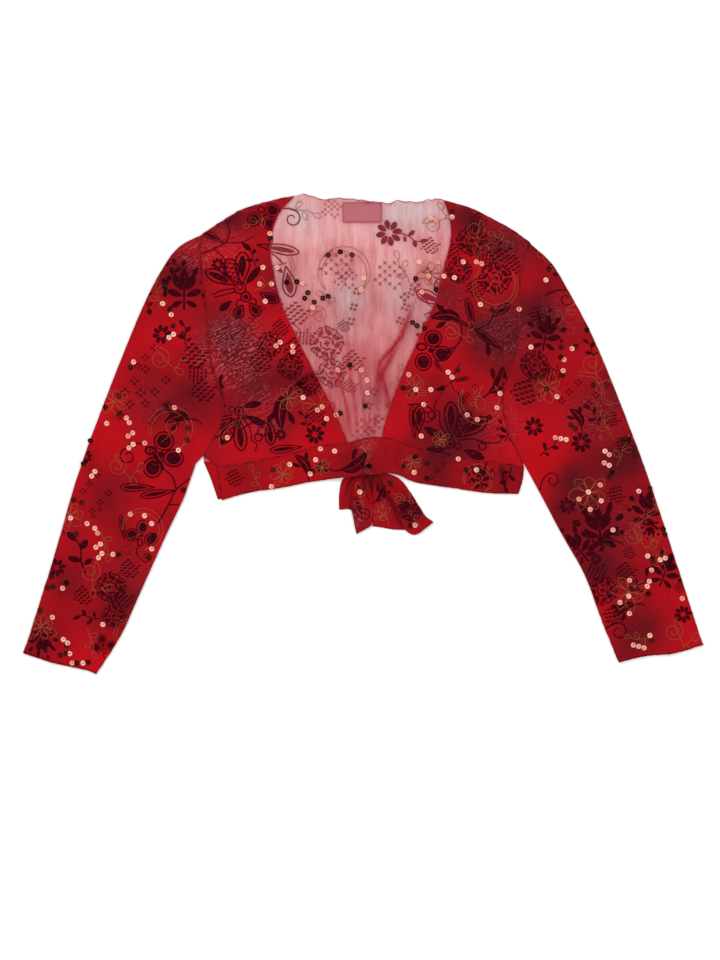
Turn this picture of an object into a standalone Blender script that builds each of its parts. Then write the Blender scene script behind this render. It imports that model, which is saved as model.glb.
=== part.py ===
# Sequin bolero jacket: a short sheer mesh jacket with a deep V front, tied behind with its
# own band, laid out flat with its front up. Metres, +Z up, +X to the viewer's right and
# +Y towards the neck. Left and right are the wearer's: the wearer's right lies at -X.
#
# Every cloth piece is a net of points on the middle of its wall, and Solidify gives the wall.
# Outlines are in millimetres, read as smooth curves through a few points.

import math
from collections import namedtuple

import bmesh
import bpy
from mathutils import Vector

MM = 0.001

# Driving sizes, in millimetres
CLOTH = 1.0            # thickness of the cloth wall
SEAM_GAP = 0.3         # pieces stop this far from each other at a seam
SLANTED_SEAM_GAP = 0.35  # the same along X or Y where the seam runs aslant
FOLD_RADIUS = 1.0      # middle of the wall at a flattened fold, as at a sleeve's edges
EDGE_INSET = FOLD_RADIUS + CLOTH / 2
UNDERARM_CLEARANCE = 0.7   # the turn of a sleeve's fold keeps this much more off the panels

LOW = CLOTH / 2                          # middle of a wall that lies on the surface
LAID = LOW + CLOTH + SEAM_GAP            # middle of a wall that lies on that one
RAISED = LOW + 2 * FOLD_RADIUS           # middle of the top layer over a flattened fold

# Cells of the nets
ARMHOLE_CELLS = 14
SIDE_CELLS = 1
FRONT_CELLS = 12
SHOULDER_CELLS = 6
NECK_CELLS = 34
SLEEVE_CELLS = 16
FOLD_CELLS = 3
BAND_MIDDLE_CELLS = 4
BAND_ROWS = 4
BACK_CELLS = 2 * SHOULDER_CELLS + NECK_CELLS
BACK_BAND_ROWS = 3
TAIL_WIDTH_CELLS = 7
TAIL_LENGTH_CELLS = 10

# Outline of each side: the armhole runs from the shoulder to the underarm
Side = namedtuple("Side", "shoulder neckline armhole side_seam outer_edge inner_edge cuff")

RIGHT = Side(
    shoulder=[(-76, 304), (-118, 294), (-156, 282), (-181, 267), (-203, 253)],
    neckline=[(-88, 300), (-108, 276), (-117, 243), (-115, 212), (-104, 166), (-84, 121),
              (-53, 60), (-32, 18), (-19, -13)],
    armhole=[(-203, 253), (-207, 226), (-202, 185), (-197, 131), (-192, 85), (-178, 45),
             (-182, 10), (-203, -29)],
    side_seam=[(-203, -29), (-185, -43)],
    outer_edge=[(-203, 253), (-235, 235), (-259, 201), (-284, 150), (-325, 48), (-362, -53),
                (-392, -155), (-424, -257), (-432, -279)],
    inner_edge=[(-203, -29), (-218, -48), (-226, -79), (-250, -130), (-284, -206),
                (-307, -257), (-338, -306)],
    cuff=[(-432, -279), (-391, -292), (-353, -300), (-338, -306)],
)
LEFT = Side(
    shoulder=[(103, 295), (136, 285), (161, 273), (190, 257), (212, 241)],
    neckline=[(103, 295), (111, 268), (111, 245), (102, 207), (90, 163), (71, 121),
              (43, 57), (29, 17), (24, -6)],
    armhole=[(212, 241), (203, 217), (198, 182), (198, 118), (188, 86), (177, 45),
             (185, 1), (203, -37)],
    side_seam=[(203, -37), (204, -43)],
    outer_edge=[(212, 241), (240, 215), (264, 175), (291, 124), (323, 48), (361, -53),
                (395, -155), (428, -257), (433, -268)],
    inner_edge=[(203, -37), (226, -79), (253, -130), (281, -180), (300, -231), (310, -257),
                (324, -291)],
    cuff=[(433, -268), (396, -279), (358, -283), (324, -291)],
)
BACK_NECK = [(-76, 304), (-65, 300), (-52, 296), (-29, 298), (-4, 295), (22, 293), (32, 291),
             (42, 294), (72, 293), (94, 297), (103, 295)]

# Front band: under each front its top is that front's bottom edge
RIGHT_BAND_TOP = [(-185, -43), (-165, -41), (-124, -34), (-80, -24), (-55, -17), (-19, -13)]
MIDDLE_BAND_TOP = [(-19, -13), (-1, -8), (11, -6), (24, -6)]
LEFT_BAND_TOP = [(24, -6), (37, -8), (53, -14), (88, -25), (123, -32), (174, -38), (204, -43)]
FRONT_BAND_BOTTOM = [(-179, -85), (-144, -75), (-108, -70), (-67, -62), (-14, -55), (37, -51),
                     (66, -62), (123, -71), (160, -76), (197, -77)]
FRONT_BAND_RIGHT_END = [(-185, -43), (-179, -85)]
FRONT_BAND_LEFT_END = [(204, -43), (202, -60), (197, -77)]

# Knot behind the front band, with the two back bands running into it
KNOT_CENTRE = (10.0, -42.0)
KNOT_SIZE = (44.0, 21.0, 7.0)
KNOT_SQUARENESS = 0.5   # 1 is an ellipsoid, 0 a box
KNOT_FLAT = 0.9         # the knot is cut flat below, at this share of its half height
KNOT_SEGMENTS = 16
KNOT_RINGS = 10
KNOT_GROOVE_DEPTH = 0.12
KNOT_GROOVE_WIDTH = 0.22
KNOT_GROOVE_SLANT = 0.55
BACK_BAND_KNOT_WIDTH = 17.0
BACK_BAND_MIDDLE_BOTTOM = -66.0
BAND_TAPER = 14.0      # a back band narrows over this length beside the knot
BACK_HEM = [(-202, -36), (-120, -31), (-40, -25), (10, -23), (60, -26), (130, -33), (203, -42)]
RIGHT_BACK_BAND_SIDE = [(-202, -36), (-192, -60), (-184, -84)]
LEFT_BACK_BAND_SIDE = [(203, -42), (200, -60), (195, -76)]

# Rise of the front band over the knot and the roots of the tie ends
KNOT_RISE = 6.6
KNOT_RISE_CENTRE = (8.0, -45.0)
KNOT_RISE_REACH = (46.0, 27.0)

# Tie ends: each is a strip folded in two along its right edge, open along its left
Tail = namedtuple("Tail", "under_hem fold top_hem under_end top_end")

RIGHT_TAIL = Tail(
    under_hem=[(-11, -52.8), (-25, -62), (-30, -79), (-30, -97)],
    fold=[(8, -52.8), (10.5, -75), (11.5, -100), (11, -117)],
    top_hem=[(-5, -52.8), (-16, -66), (-15, -92), (-8, -128)],
    under_end=[(-30, -97), (-14, -98), (11, -117)],
    top_end=[(11, -117), (-8, -128)],
)
LEFT_TAIL = Tail(
    under_hem=[(12.2, -52.8), (12.2, -80), (12.8, -100), (12.4, -118)],
    fold=[(31, -52.8), (49, -61), (65, -82), (79, -104), (90, -113)],
    top_hem=[(19, -52.8), (30, -77), (43, -101), (51, -121)],
    under_end=[(12.4, -118), (51, -122.5), (90, -113)],
    top_end=[(90, -113), (66, -129), (51, -121)],
)
TAIL_PLEATS = 2
TAIL_PLEAT_HEIGHT = 1.6
TAIL_PLEAT_REACH = 0.9  # share of the length over which the pleats rise and die out

# Neck label
LABEL_SIZE = (50.0, 26.0)
LABEL_CENTRE = (-1.0, 280.0)
LABEL_CELLS = (6, 4)

# Large folds of the cloth, each along a line in plan, low at both ends of that line
FOLD_END = 0.08        # share of the half wave that is left off at each end
Fold = namedtuple("Fold", "line height half_width")

BACK_FOLDS = (
    Fold([(67, 171), (49, 122), (22, 90), (13, 38)], 4.0, 8.0),
    Fold([(36, 106), (26, 81), (15, 42)], 2.2, 5.5),
    Fold([(-62, 200), (-38, 140), (-26, 92)], 1.5, 10.0),
    Fold([(-38, 92), (-24, 48), (-15, -4)], 1.4, 4.5),
    Fold([(-20, 112), (-12, 50), (-6, -8)], 1.1, 4.0),
    Fold([(-4, 84), (1, 36), (3, -8)], 1.4, 3.8),
    Fold([(26, 58), (17, 22), (13, -8)], 1.2, 3.8),
)
FRONT_FOLDS = (
    Fold([(-190, 215), (-165, 150), (-158, 96)], 1.4, 13.0),
    Fold([(-150, 44), (-120, 14), (-84, -8)], 1.3, 11.0),
    Fold([(-150, 200), (-132, 130), (-118, 70)], 1.2, 12.0),
    Fold([(186, 200), (172, 150), (160, 106)], 1.5, 12.0),
    Fold([(160, 60), (130, 20), (96, -6)], 1.3, 11.0),
    Fold([(130, 226), (122, 160), (112, 100)], 1.2, 12.0),
)
SLEEVE_FOLDS = (
    Fold([(-222, 222), (-244, 170), (-262, 112)], 1.6, 12.0),
    Fold([(-214, 60), (-246, 34), (-292, 22)], 1.4, 11.0),
    Fold([(-212, 20), (-238, -24), (-276, -52)], 1.8, 11.0),
    Fold([(-236, -92), (-280, -82), (-330, -64)], 1.5, 11.0),
    Fold([(-300, -120), (-330, -176), (-352, -236)], 1.3, 12.0),
    Fold([(216, 210), (238, 160), (256, 104)], 1.6, 12.0),
    Fold([(212, 52), (244, 24), (286, 12)], 1.4, 11.0),
    Fold([(214, -6), (246, -44), (286, -70)], 1.8, 11.0),
    Fold([(250, -108), (290, -96), (336, -74)], 1.5, 11.0),
    Fold([(300, -130), (330, -190), (350, -244)], 1.3, 12.0),
)

# Shares of a piece over which folds and rises fade out at its edges
FRONT_END_FADE = 0.12
NECKLINE_FADE = 0.25
ARMHOLE_FADE = 0.2
SLEEVE_EDGE_FADE = 0.2
SLEEVE_HEAD_FADE = 0.08

# Waves of the upper layer at the rolled edge of a cuff
CUFF_WAVES = 3
CUFF_WAVE_HEIGHT = 0.6
CUFF_WAVE_START = 0.86

SAMPLES_PER_SPAN = 24
SHARP_ANGLE = math.radians(40)


# Curves and nets in plan

def smooth_curve(points):
    """Many points along a Catmull-Rom curve through a few."""
    ends = [tuple(2 * a - b for a, b in zip(points[0], points[1]))]
    tail = [tuple(2 * a - b for a, b in zip(points[-1], points[-2]))]
    knots = [Vector(p) for p in ends + list(points) + tail]
    curve = []
    for k in range(1, len(knots) - 2):
        before, start, end, after = knots[k - 1:k + 3]
        for s in range(SAMPLES_PER_SPAN):
            t = s / SAMPLES_PER_SPAN
            curve.append(0.5 * (2 * start + (end - before) * t
                                + (2 * before - 5 * start + 4 * end - after) * t * t
                                + (3 * start - before - 3 * end + after) * t ** 3))
    curve.append(Vector(points[-1]))
    return curve


def sample(points, cells):
    """cells + 1 points, evenly spaced along the smooth curve through points."""
    curve = smooth_curve(points)
    lengths = [0.0]
    for a, b in zip(curve, curve[1:]):
        lengths.append(lengths[-1] + (b - a).length)
    result = []
    k = 0
    for c in range(cells + 1):
        target = lengths[-1] * c / cells
        while k < len(curve) - 2 and lengths[k + 1] < target:
            k += 1
        span = max(lengths[k + 1] - lengths[k], 1e-9)
        result.append(curve[k].lerp(curve[k + 1], min((target - lengths[k]) / span, 1.0)))
    return result


def patch(top, bottom, start, end):
    """Rows of plan points between four edges that share their corners (a Coons patch)."""
    columns = len(top) - 1
    rows = len(start) - 1
    net = []
    for j in range(rows + 1):
        v = j / rows
        row = []
        for i in range(columns + 1):
            u = i / columns
            ruled = (1 - v) * top[i] + v * bottom[i] + (1 - u) * start[j] + u * end[j]
            corners = ((1 - u) * ((1 - v) * top[0] + v * bottom[0])
                       + u * ((1 - v) * top[-1] + v * bottom[-1]))
            row.append(ruled - corners)
        net.append(row)
    return net


def shifted(points, dx, dy):
    return [p + Vector((dx, dy)) for p in points]


# Heights

def soft_step(value):
    t = min(max(value, 0.0), 1.0)
    return t * t * (3 - 2 * t)


def fold_height(folds, point):
    """Height of the soft ridges at a plan point, each fading out towards its ends."""
    height = 0.0
    for fold in folds:
        line = [Vector(p) for p in fold.line]
        nearest = None
        for k, (a, b) in enumerate(zip(line, line[1:])):
            along = min(max((point - a).dot(b - a) / (b - a).length_squared, 0.0), 1.0)
            distance = (point - a.lerp(b, along)).length
            if nearest is None or distance < nearest[0]:
                nearest = (distance, (k + along) / (len(line) - 1))
        distance, progress = nearest
        fade = math.sin(math.pi * (FOLD_END + (1 - 2 * FOLD_END) * progress))
        height += fold.height * fade * math.exp(-(distance / fold.half_width) ** 2)
    return height


def knot_rise(point):
    """How far the front rises over the knot."""
    x = (point.x - KNOT_RISE_CENTRE[0]) / KNOT_RISE_REACH[0]
    y = (point.y - KNOT_RISE_CENTRE[1]) / KNOT_RISE_REACH[1]
    return KNOT_RISE * math.exp(-x ** 4 - y ** 4)


# Solids

def finish(name, colour, roughness):
    """A plain Principled finish for one piece."""
    material = bpy.data.materials.new(name)
    material.use_nodes = True
    shader = material.node_tree.nodes["Principled BSDF"]
    shader.inputs["Base Color"].default_value = (*colour, 1.0)
    shader.inputs["Roughness"].default_value = roughness
    shader.inputs["Metallic"].default_value = 0.0
    material.diffuse_color = (*colour, 1.0)
    return material


def place(name, mesh, anchor, material):
    """Put a mesh in the garment's collection, with its origin at anchor."""
    mesh.materials.append(material)
    mesh.shade_smooth()
    mesh.set_sharp_from_angle(angle=SHARP_ANGLE)
    piece = bpy.data.objects.new(name, mesh)
    piece.location = Vector(anchor) * MM
    piece.parent = garment
    collection.objects.link(piece)
    return piece


def cloth(name, net, material, closed=False):
    """A cloth piece from rows of points on the middle of its wall."""
    anchor = net[0][0].copy()
    anchor.z = 0.0
    width = len(net[0])
    across = width if closed else width - 1
    mesh = bpy.data.meshes.new(name)
    points = [(p - anchor) * MM for row in net for p in row]
    faces = []
    for j in range(len(net) - 1):
        for i in range(across):
            right = (i + 1) % width
            faces.append((j * width + i, j * width + right,
                          (j + 1) * width + right, (j + 1) * width + i))
    mesh.from_pydata(points, [], faces)
    piece = place(name, mesh, anchor, material)
    wall = piece.modifiers.new("Wall", "SOLIDIFY")
    wall.thickness = CLOTH * MM
    wall.offset = 0.0
    return piece


def lift(net, height):
    """Plan points with a height from the function height(point, u, v)."""
    rows = len(net) - 1
    columns = len(net[0]) - 1
    return [[Vector((p.x, p.y, height(p, i / columns, j / rows))) for i, p in enumerate(row)]
            for j, row in enumerate(net)]


def fold_points(last, before):
    """Points round a flattened fold, from the raised layer down to the low one."""
    outward = (last - before).normalized()
    middle = (LOW + RAISED) / 2
    points = []
    for k in range(1, FOLD_CELLS):
        angle = math.pi * k / FOLD_CELLS
        plan = last + outward * (FOLD_RADIUS * math.sin(angle))
        points.append(Vector((plan.x, plan.y, middle + FOLD_RADIUS * math.cos(angle))))
    return points


# Panels

def side_edge(side):
    """A panel's edge from the shoulder, down the armhole, to the end of the side seam."""
    return sample(side.armhole, ARMHOLE_CELLS)[:-1] + sample(side.side_seam, SIDE_CELLS)


def front_panel(name, side, band_top, material):
    """A front, from the neckline (u = 0) to the armhole (u = 1), shoulder to band."""
    rows = ARMHOLE_CELLS + SIDE_CELLS
    shoulder = [side.neckline[0]] + side.shoulder[1:]
    bottom = sample(band_top, FRONT_CELLS)
    if side is RIGHT:
        bottom.reverse()
    net = patch(sample(shoulder, FRONT_CELLS), shifted(bottom, 0.0, SEAM_GAP),
                shifted_ends(sample(side.neckline, rows), 0.0, SEAM_GAP),
                shifted_ends(side_edge(side), 0.0, SEAM_GAP))

    def height(point, u, v):
        off_edges = (soft_step(v / FRONT_END_FADE) * soft_step((1 - v) / FRONT_END_FADE)
                     * soft_step(u / NECKLINE_FADE))
        rise = (RAISED - LAID) * off_edges
        folds = fold_height(FRONT_FOLDS, point) * off_edges * soft_step((1 - u) / ARMHOLE_FADE)
        under = fold_height(BACK_FOLDS, point)
        return LAID + rise + folds + under + knot_rise(point)

    return cloth(name, lift(net, height), material)


def shifted_ends(points, dx, dy):
    """The same points with only the last one moved, to meet a moved bottom edge."""
    return points[:-1] + shifted(points[-1:], dx, dy)


def back_panel(material):
    """The back: its top edge is both shoulders and the wavy neck between them."""
    top = (sample(RIGHT.shoulder, SHOULDER_CELLS)[::-1][:-1]
           + sample(BACK_NECK, NECK_CELLS)
           + sample(LEFT.shoulder, SHOULDER_CELLS)[1:])
    hem = sample(BACK_HEM, BACK_CELLS)
    right_side = sample(RIGHT.armhole, ARMHOLE_CELLS) + [hem[0]]
    left_side = sample(LEFT.armhole, ARMHOLE_CELLS) + [hem[-1]]
    net = patch(top, hem, right_side, left_side)
    return cloth("back_panel", lift(net, lambda p, u, v: LOW + fold_height(BACK_FOLDS, p)),
                 material)


def sleeve(name, side, away, material):
    """A sleeve: a flattened tube from the armhole to the cuff, open at both ends."""
    armhole = shifted(sample(side.armhole, ARMHOLE_CELLS), away * SLANTED_SEAM_GAP, 0.0)
    cuff = sample(side.cuff, ARMHOLE_CELLS)
    outer = [armhole[0]] + sample(side.outer_edge, SLEEVE_CELLS)[1:]
    inner = [armhole[-1]] + sample(side.inner_edge, SLEEVE_CELLS)[1:]
    net = patch(armhole, cuff, outer, inner)
    rings = []
    for j, row in enumerate(net):
        row = pulled_in(row)
        if j == 0:
            row[-1].x += away * UNDERARM_CLEARANCE
        v = j / SLEEVE_CELLS
        upper = []
        for i, point in enumerate(row):
            u = i / ARMHOLE_CELLS
            off_edges = (soft_step(u / SLEEVE_EDGE_FADE) * soft_step((1 - u) / SLEEVE_EDGE_FADE)
                         * soft_step(v / SLEEVE_HEAD_FADE))
            ridge = fold_height(SLEEVE_FOLDS, point)
            near_cuff = soft_step((v - CUFF_WAVE_START) / (1 - CUFF_WAVE_START))
            wave = CUFF_WAVE_HEIGHT * near_cuff * math.sin(2 * math.pi * CUFF_WAVES * u)
            upper.append(Vector((point.x, point.y, RAISED + (ridge + wave) * off_edges)))
        lower = [Vector((p.x, p.y, LOW)) for p in row]
        inner_fold = fold_points(row[-1], row[-2])
        outer_fold = fold_points(row[0], row[1])
        rings.append(upper + inner_fold + lower[::-1] + outer_fold[::-1])
    return cloth(name, rings, material, closed=True)


def pulled_in(row):
    """A row of plan points with its two ends drawn in to leave room for the folds."""
    start = row[0] + (row[1] - row[0]).normalized() * EDGE_INSET
    end = row[-1] + (row[-2] - row[-1]).normalized() * EDGE_INSET
    return [start] + row[1:-1] + [end]


# Bands, knot and ties

def front_band(material):
    """One strip across the front, arched over the knot."""
    top = (sample(RIGHT_BAND_TOP, FRONT_CELLS)[:-1]
           + sample(MIDDLE_BAND_TOP, BAND_MIDDLE_CELLS)
           + sample(LEFT_BAND_TOP, FRONT_CELLS)[1:])
    net = patch(top, sample(FRONT_BAND_BOTTOM, len(top) - 1),
                sample(FRONT_BAND_RIGHT_END, BAND_ROWS),
                sample(FRONT_BAND_LEFT_END, BAND_ROWS))

    def height(point, u, v):
        return LAID + knot_rise(point) + fold_height(BACK_FOLDS, point)

    return cloth("front_band", lift(net, height), material)


def back_band(name, side_end, toward, material):
    """A strip on the surface, from a side seam to the knot, narrower there."""
    knot_x = KNOT_CENTRE[0] + toward * (KNOT_SIZE[0] / 2 + SEAM_GAP)
    half = BACK_BAND_KNOT_WIDTH / 2
    knot_end = [(knot_x, KNOT_CENTRE[1] + half), (knot_x, KNOT_CENTRE[1] - half)]
    hem = [p for p in sample(BACK_HEM, BACK_CELLS) if toward * (p.x - knot_x) > BAND_TAPER]
    top = [Vector(knot_end[0])] + sorted(shifted(hem, 0.0, -SLANTED_SEAM_GAP),
                                         key=lambda p: toward * p.x)
    middle = ((knot_x + side_end[-1][0]) / 2, BACK_BAND_MIDDLE_BOTTOM)
    bottom = sample([knot_end[1], middle, side_end[-1]], len(top) - 1)
    side = [top[-1]] + sample(side_end, BACK_BAND_ROWS)[1:]
    net = patch(top, bottom, sample(knot_end, BACK_BAND_ROWS), side)
    return cloth(name, lift(net, lambda p, u, v: LOW), material)


def knot(material):
    """A flattened round knot with the groove of one turn of the band across it."""
    shape = bmesh.new()
    bmesh.ops.create_uvsphere(shape, u_segments=KNOT_SEGMENTS, v_segments=KNOT_RINGS, radius=1.0)
    half = Vector((KNOT_SIZE[0] / 2, KNOT_SIZE[1] / 2, KNOT_SIZE[2] / 2))
    for vert in shape.verts:
        squared = [math.copysign(abs(c) ** KNOT_SQUARENESS, c) for c in vert.co]
        across = (vert.co.x - KNOT_GROOVE_SLANT * vert.co.y) / KNOT_GROOVE_WIDTH
        groove = 1 - KNOT_GROOVE_DEPTH * math.exp(-across ** 2)
        height = max(squared[2], -KNOT_FLAT) * (groove if vert.co.z > 0 else 1)
        vert.co = Vector((squared[0] * half.x, squared[1] * half.y, height * half.z)) * MM
    mesh = bpy.data.meshes.new("tie_knot")
    shape.to_mesh(mesh)
    shape.free()
    return place("tie_knot", mesh, (*KNOT_CENTRE, KNOT_FLAT * half.z), material)


def tie_tail(name, tail, material):
    """A free end of the tie, folded in two lengthwise, with pleats spreading from the knot."""
    rows = TAIL_LENGTH_CELLS
    under_hem = sample(tail.under_hem, rows)
    fold = sample(tail.fold, rows)
    top_hem = sample(tail.top_hem, rows)
    under = patch([under_hem[0].lerp(fold[0], k / TAIL_WIDTH_CELLS)
                   for k in range(TAIL_WIDTH_CELLS + 1)],
                  sample(tail.under_end, TAIL_WIDTH_CELLS), under_hem, fold)
    over = patch([fold[0].lerp(top_hem[0], k / TAIL_WIDTH_CELLS)
                  for k in range(TAIL_WIDTH_CELLS + 1)],
                 sample(tail.top_end, TAIL_WIDTH_CELLS), fold, top_hem)
    net = []
    for j in range(rows + 1):
        v = j / rows
        spread = math.sin(math.pi * min(v / TAIL_PLEAT_REACH, 1.0))
        corner = fold[j] + (under[j][-2] - fold[j]).normalized() * EDGE_INSET
        low_row = [Vector((p.x, p.y, LOW)) for p in under[j][:-1] + [corner]]
        high_row = []
        for i, p in enumerate([corner] + over[j][1:]):
            wave = math.sin(math.pi * TAIL_PLEATS * i / TAIL_WIDTH_CELLS) ** 2
            high_row.append(Vector((p.x, p.y, RAISED + TAIL_PLEAT_HEIGHT * spread * wave)))
        turn = fold_points(corner, under[j][-2])
        net.append(low_row + turn[::-1] + high_row)
    return cloth(name, net, material)


def neck_label(material):
    """A small plain rectangle just above the back panel."""
    width, depth = LABEL_SIZE
    x, y = LABEL_CENTRE
    columns, rows = LABEL_CELLS
    net = [[Vector((x + width * (i / columns - 0.5), y + depth * (0.5 - j / rows), LAID))
            for i in range(columns + 1)] for j in range(rows + 1)]
    return cloth("neck_label", net, material)


for old in list(bpy.data.objects):
    bpy.data.objects.remove(old, do_unlink=True)

collection = bpy.data.collections.new("Sequin bolero jacket")
bpy.context.scene.collection.children.link(collection)
garment = bpy.data.objects.new("bolero", None)
collection.objects.link(garment)

RED_MESH = (0.36, 0.012, 0.018)
DEEP_RED_MESH = (0.27, 0.008, 0.014)
ROSE_SATIN = (0.52, 0.10, 0.13)

back_panel(finish("back mesh", DEEP_RED_MESH, 0.7))
front_panel("right_front", RIGHT, RIGHT_BAND_TOP, finish("right front mesh", RED_MESH, 0.65))
front_panel("left_front", LEFT, LEFT_BAND_TOP, finish("left front mesh", RED_MESH, 0.65))
sleeve("right_sleeve", RIGHT, -1, finish("right sleeve mesh", RED_MESH, 0.65))
sleeve("left_sleeve", LEFT, 1, finish("left sleeve mesh", RED_MESH, 0.65))
front_band(finish("front band mesh", RED_MESH, 0.6))
back_band("back_band_right", RIGHT_BACK_BAND_SIDE, -1, finish("right band mesh", RED_MESH, 0.6))
back_band("back_band_left", LEFT_BACK_BAND_SIDE, 1, finish("left band mesh", RED_MESH, 0.6))
knot(finish("knot mesh", RED_MESH, 0.6))
tie_tail("tie_tail_right", RIGHT_TAIL, finish("right tie mesh", RED_MESH, 0.6))
tie_tail("tie_tail_left", LEFT_TAIL, finish("left tie mesh", RED_MESH, 0.6))
neck_label(finish("label satin", ROSE_SATIN, 0.4))
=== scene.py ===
# Looks of a sequin bolero jacket in sheer printed mesh, laid out flat with its front up.
# Lengths are in millimetres up to the last step, where meshes are made in metres.
# Left and right are the wearer's: the wearer's right lies at -X.

import math
import random
from collections import namedtuple

import bmesh
import bpy
import numpy as np
from mathutils import Matrix, Vector, noise
from mathutils.bvhtree import BVHTree


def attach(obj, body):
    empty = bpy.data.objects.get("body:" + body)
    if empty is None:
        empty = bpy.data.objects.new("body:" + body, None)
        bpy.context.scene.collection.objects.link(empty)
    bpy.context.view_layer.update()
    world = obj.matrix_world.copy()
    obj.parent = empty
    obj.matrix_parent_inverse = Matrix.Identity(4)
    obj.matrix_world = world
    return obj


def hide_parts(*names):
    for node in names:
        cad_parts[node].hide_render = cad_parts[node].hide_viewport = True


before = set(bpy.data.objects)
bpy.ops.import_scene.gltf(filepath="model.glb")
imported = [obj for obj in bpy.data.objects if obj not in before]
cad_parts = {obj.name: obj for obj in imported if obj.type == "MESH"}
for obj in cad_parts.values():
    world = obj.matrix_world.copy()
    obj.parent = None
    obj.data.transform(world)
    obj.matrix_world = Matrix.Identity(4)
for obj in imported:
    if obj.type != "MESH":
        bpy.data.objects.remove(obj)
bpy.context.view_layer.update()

MM = 0.001
rng = random.Random(7)

# Levels, as in the solids
CLOTH = 1.0
SEAM_GAP = 0.3
FOLD_RADIUS = 1.0
EDGE_INSET = FOLD_RADIUS + CLOTH / 2
LOW = CLOTH / 2
LAID = LOW + CLOTH + SEAM_GAP
RAISED = LOW + 2 * FOLD_RADIUS
LOWER_CLOTH = 0.95     # level of the layer that rests on the table, above its own stitching
BAND_LIFT = 0.1        # of the front band over the fronts' level

# Shares of a panel over which it comes down to its edges
FRONT_FADE = 0.12
NECK_FADE = 0.25
SLEEVE_FADE = 0.2
SLEEVE_TOP_FADE = 0.08
TAIL_FADE = 0.15
# Shares of a sleeve or a tie end after which its waves start
CUFF_WAVE_START = 0.86
CUFF_FRILL_START = 0.985
TAIL_FRILL_START = 0.94

# Small waves in the laid cloth: their heights
NECK_FRILL = 0.9
CUFF_WAVE = 0.6
CUFF_FRILL = 0.5
CUFF_FRILL_WAVES = 17
FOLD_WANDER = 0.55     # of a folded edge, in plan
TAIL_PLEAT = 1.6
TAIL_WAVE = 0.5
TAIL_FRILL = 0.4
BAND_GATHER = 0.25

# How much painted shade darkens the doubled cloth of the sleeves' folds and cuffs, from 0 to 1
FOLD_SHADE = 0.75
CUFF_SHADE = 0.6

# What is sewn on
SHELL = 0.3            # thickness of the mesh itself
FLOCK = 0.24           # thickness of the flocked print
PRINT_THROUGH = 0.03   # thickness of the print where it shows through the back
FLOCK_GAP = 0.01       # from the mesh to the print
THREAD = 0.62          # width of a gold thread
STITCH = 2.5           # length of one running stitch
STITCH_PITCH = 2.9
SHORTEST_STITCH = 0.5
STITCH_RISE = 0.30     # of a stitch's middle over the cloth
UNDER_STITCH_RISE = 0.15
STITCH_END_RISE = 0.08
LABEL_STITCH = 1.8
LABEL_STITCH_PITCH = 2.6
SEQUIN_RADIUS = 3.3
SEQUIN_HOLE = 0.72
EDGE_RADIUS = 0.55     # rolled edge of the cloth

# Cells of the nets
FRONT_CELLS = 44
FRONT_ROWS = 110
ARMHOLE_ROWS = 103     # of the front's rows, the rest run down its side seam
HEM_ROWS = 3           # of the back's rows, from the armhole to the hem
SHOULDER_CELLS = 34
NECK_CELLS = 66
SLEEVE_CELLS = 60
SLEEVE_ROWS = 126
FOLD_CELLS = 4
BAND_ROWS = 16
BAND_MIDDLE_CELLS = 20
TAIL_CELLS = 16
TAIL_ROWS = 44
BACK_BAND_CELLS = 60
BACK_BAND_ROWS = 12

# Outlines in plan, as in the solids
Side = namedtuple("Side", "shoulder neckline armhole side_seam outer_edge inner_edge cuff")

RIGHT = Side(
    shoulder=[(-76, 304), (-118, 294), (-156, 282), (-181, 267), (-203, 253)],
    neckline=[(-88, 300), (-108, 276), (-117, 243), (-115, 212), (-104, 166), (-84, 121),
              (-53, 60), (-32, 18), (-19, -13)],
    armhole=[(-203, 253), (-207, 226), (-202, 185), (-197, 131), (-192, 85), (-178, 45),
             (-182, 10), (-203, -29)],
    side_seam=[(-203, -29), (-185, -43)],
    outer_edge=[(-203, 253), (-235, 235), (-259, 201), (-284, 150), (-325, 48), (-362, -53),
                (-392, -155), (-424, -257), (-432, -279)],
    inner_edge=[(-203, -29), (-218, -48), (-226, -79), (-250, -130), (-284, -206),
                (-307, -257), (-338, -306)],
    cuff=[(-432, -279), (-391, -292), (-353, -300), (-338, -306)],
)
LEFT = Side(
    shoulder=[(103, 295), (136, 285), (161, 273), (190, 257), (212, 241)],
    neckline=[(103, 295), (111, 268), (111, 245), (102, 207), (90, 163), (71, 121),
              (43, 57), (29, 17), (24, -6)],
    armhole=[(212, 241), (203, 217), (198, 182), (198, 118), (188, 86), (177, 45),
             (185, 1), (203, -37)],
    side_seam=[(203, -37), (204, -43)],
    outer_edge=[(212, 241), (240, 215), (264, 175), (291, 124), (323, 48), (361, -53),
                (395, -155), (428, -257), (433, -268)],
    inner_edge=[(203, -37), (226, -79), (253, -130), (281, -180), (300, -231), (310, -257),
                (324, -291)],
    cuff=[(433, -268), (396, -279), (358, -283), (324, -291)],
)
BACK_NECK = [(-76, 304), (-65, 300), (-52, 296), (-29, 298), (-4, 295), (22, 293), (32, 291),
             (42, 294), (72, 293), (94, 297), (103, 295)]
BACK_HEM = [(-202, -36), (-120, -31), (-40, -25), (10, -23), (60, -26), (130, -33), (203, -42)]

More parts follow.
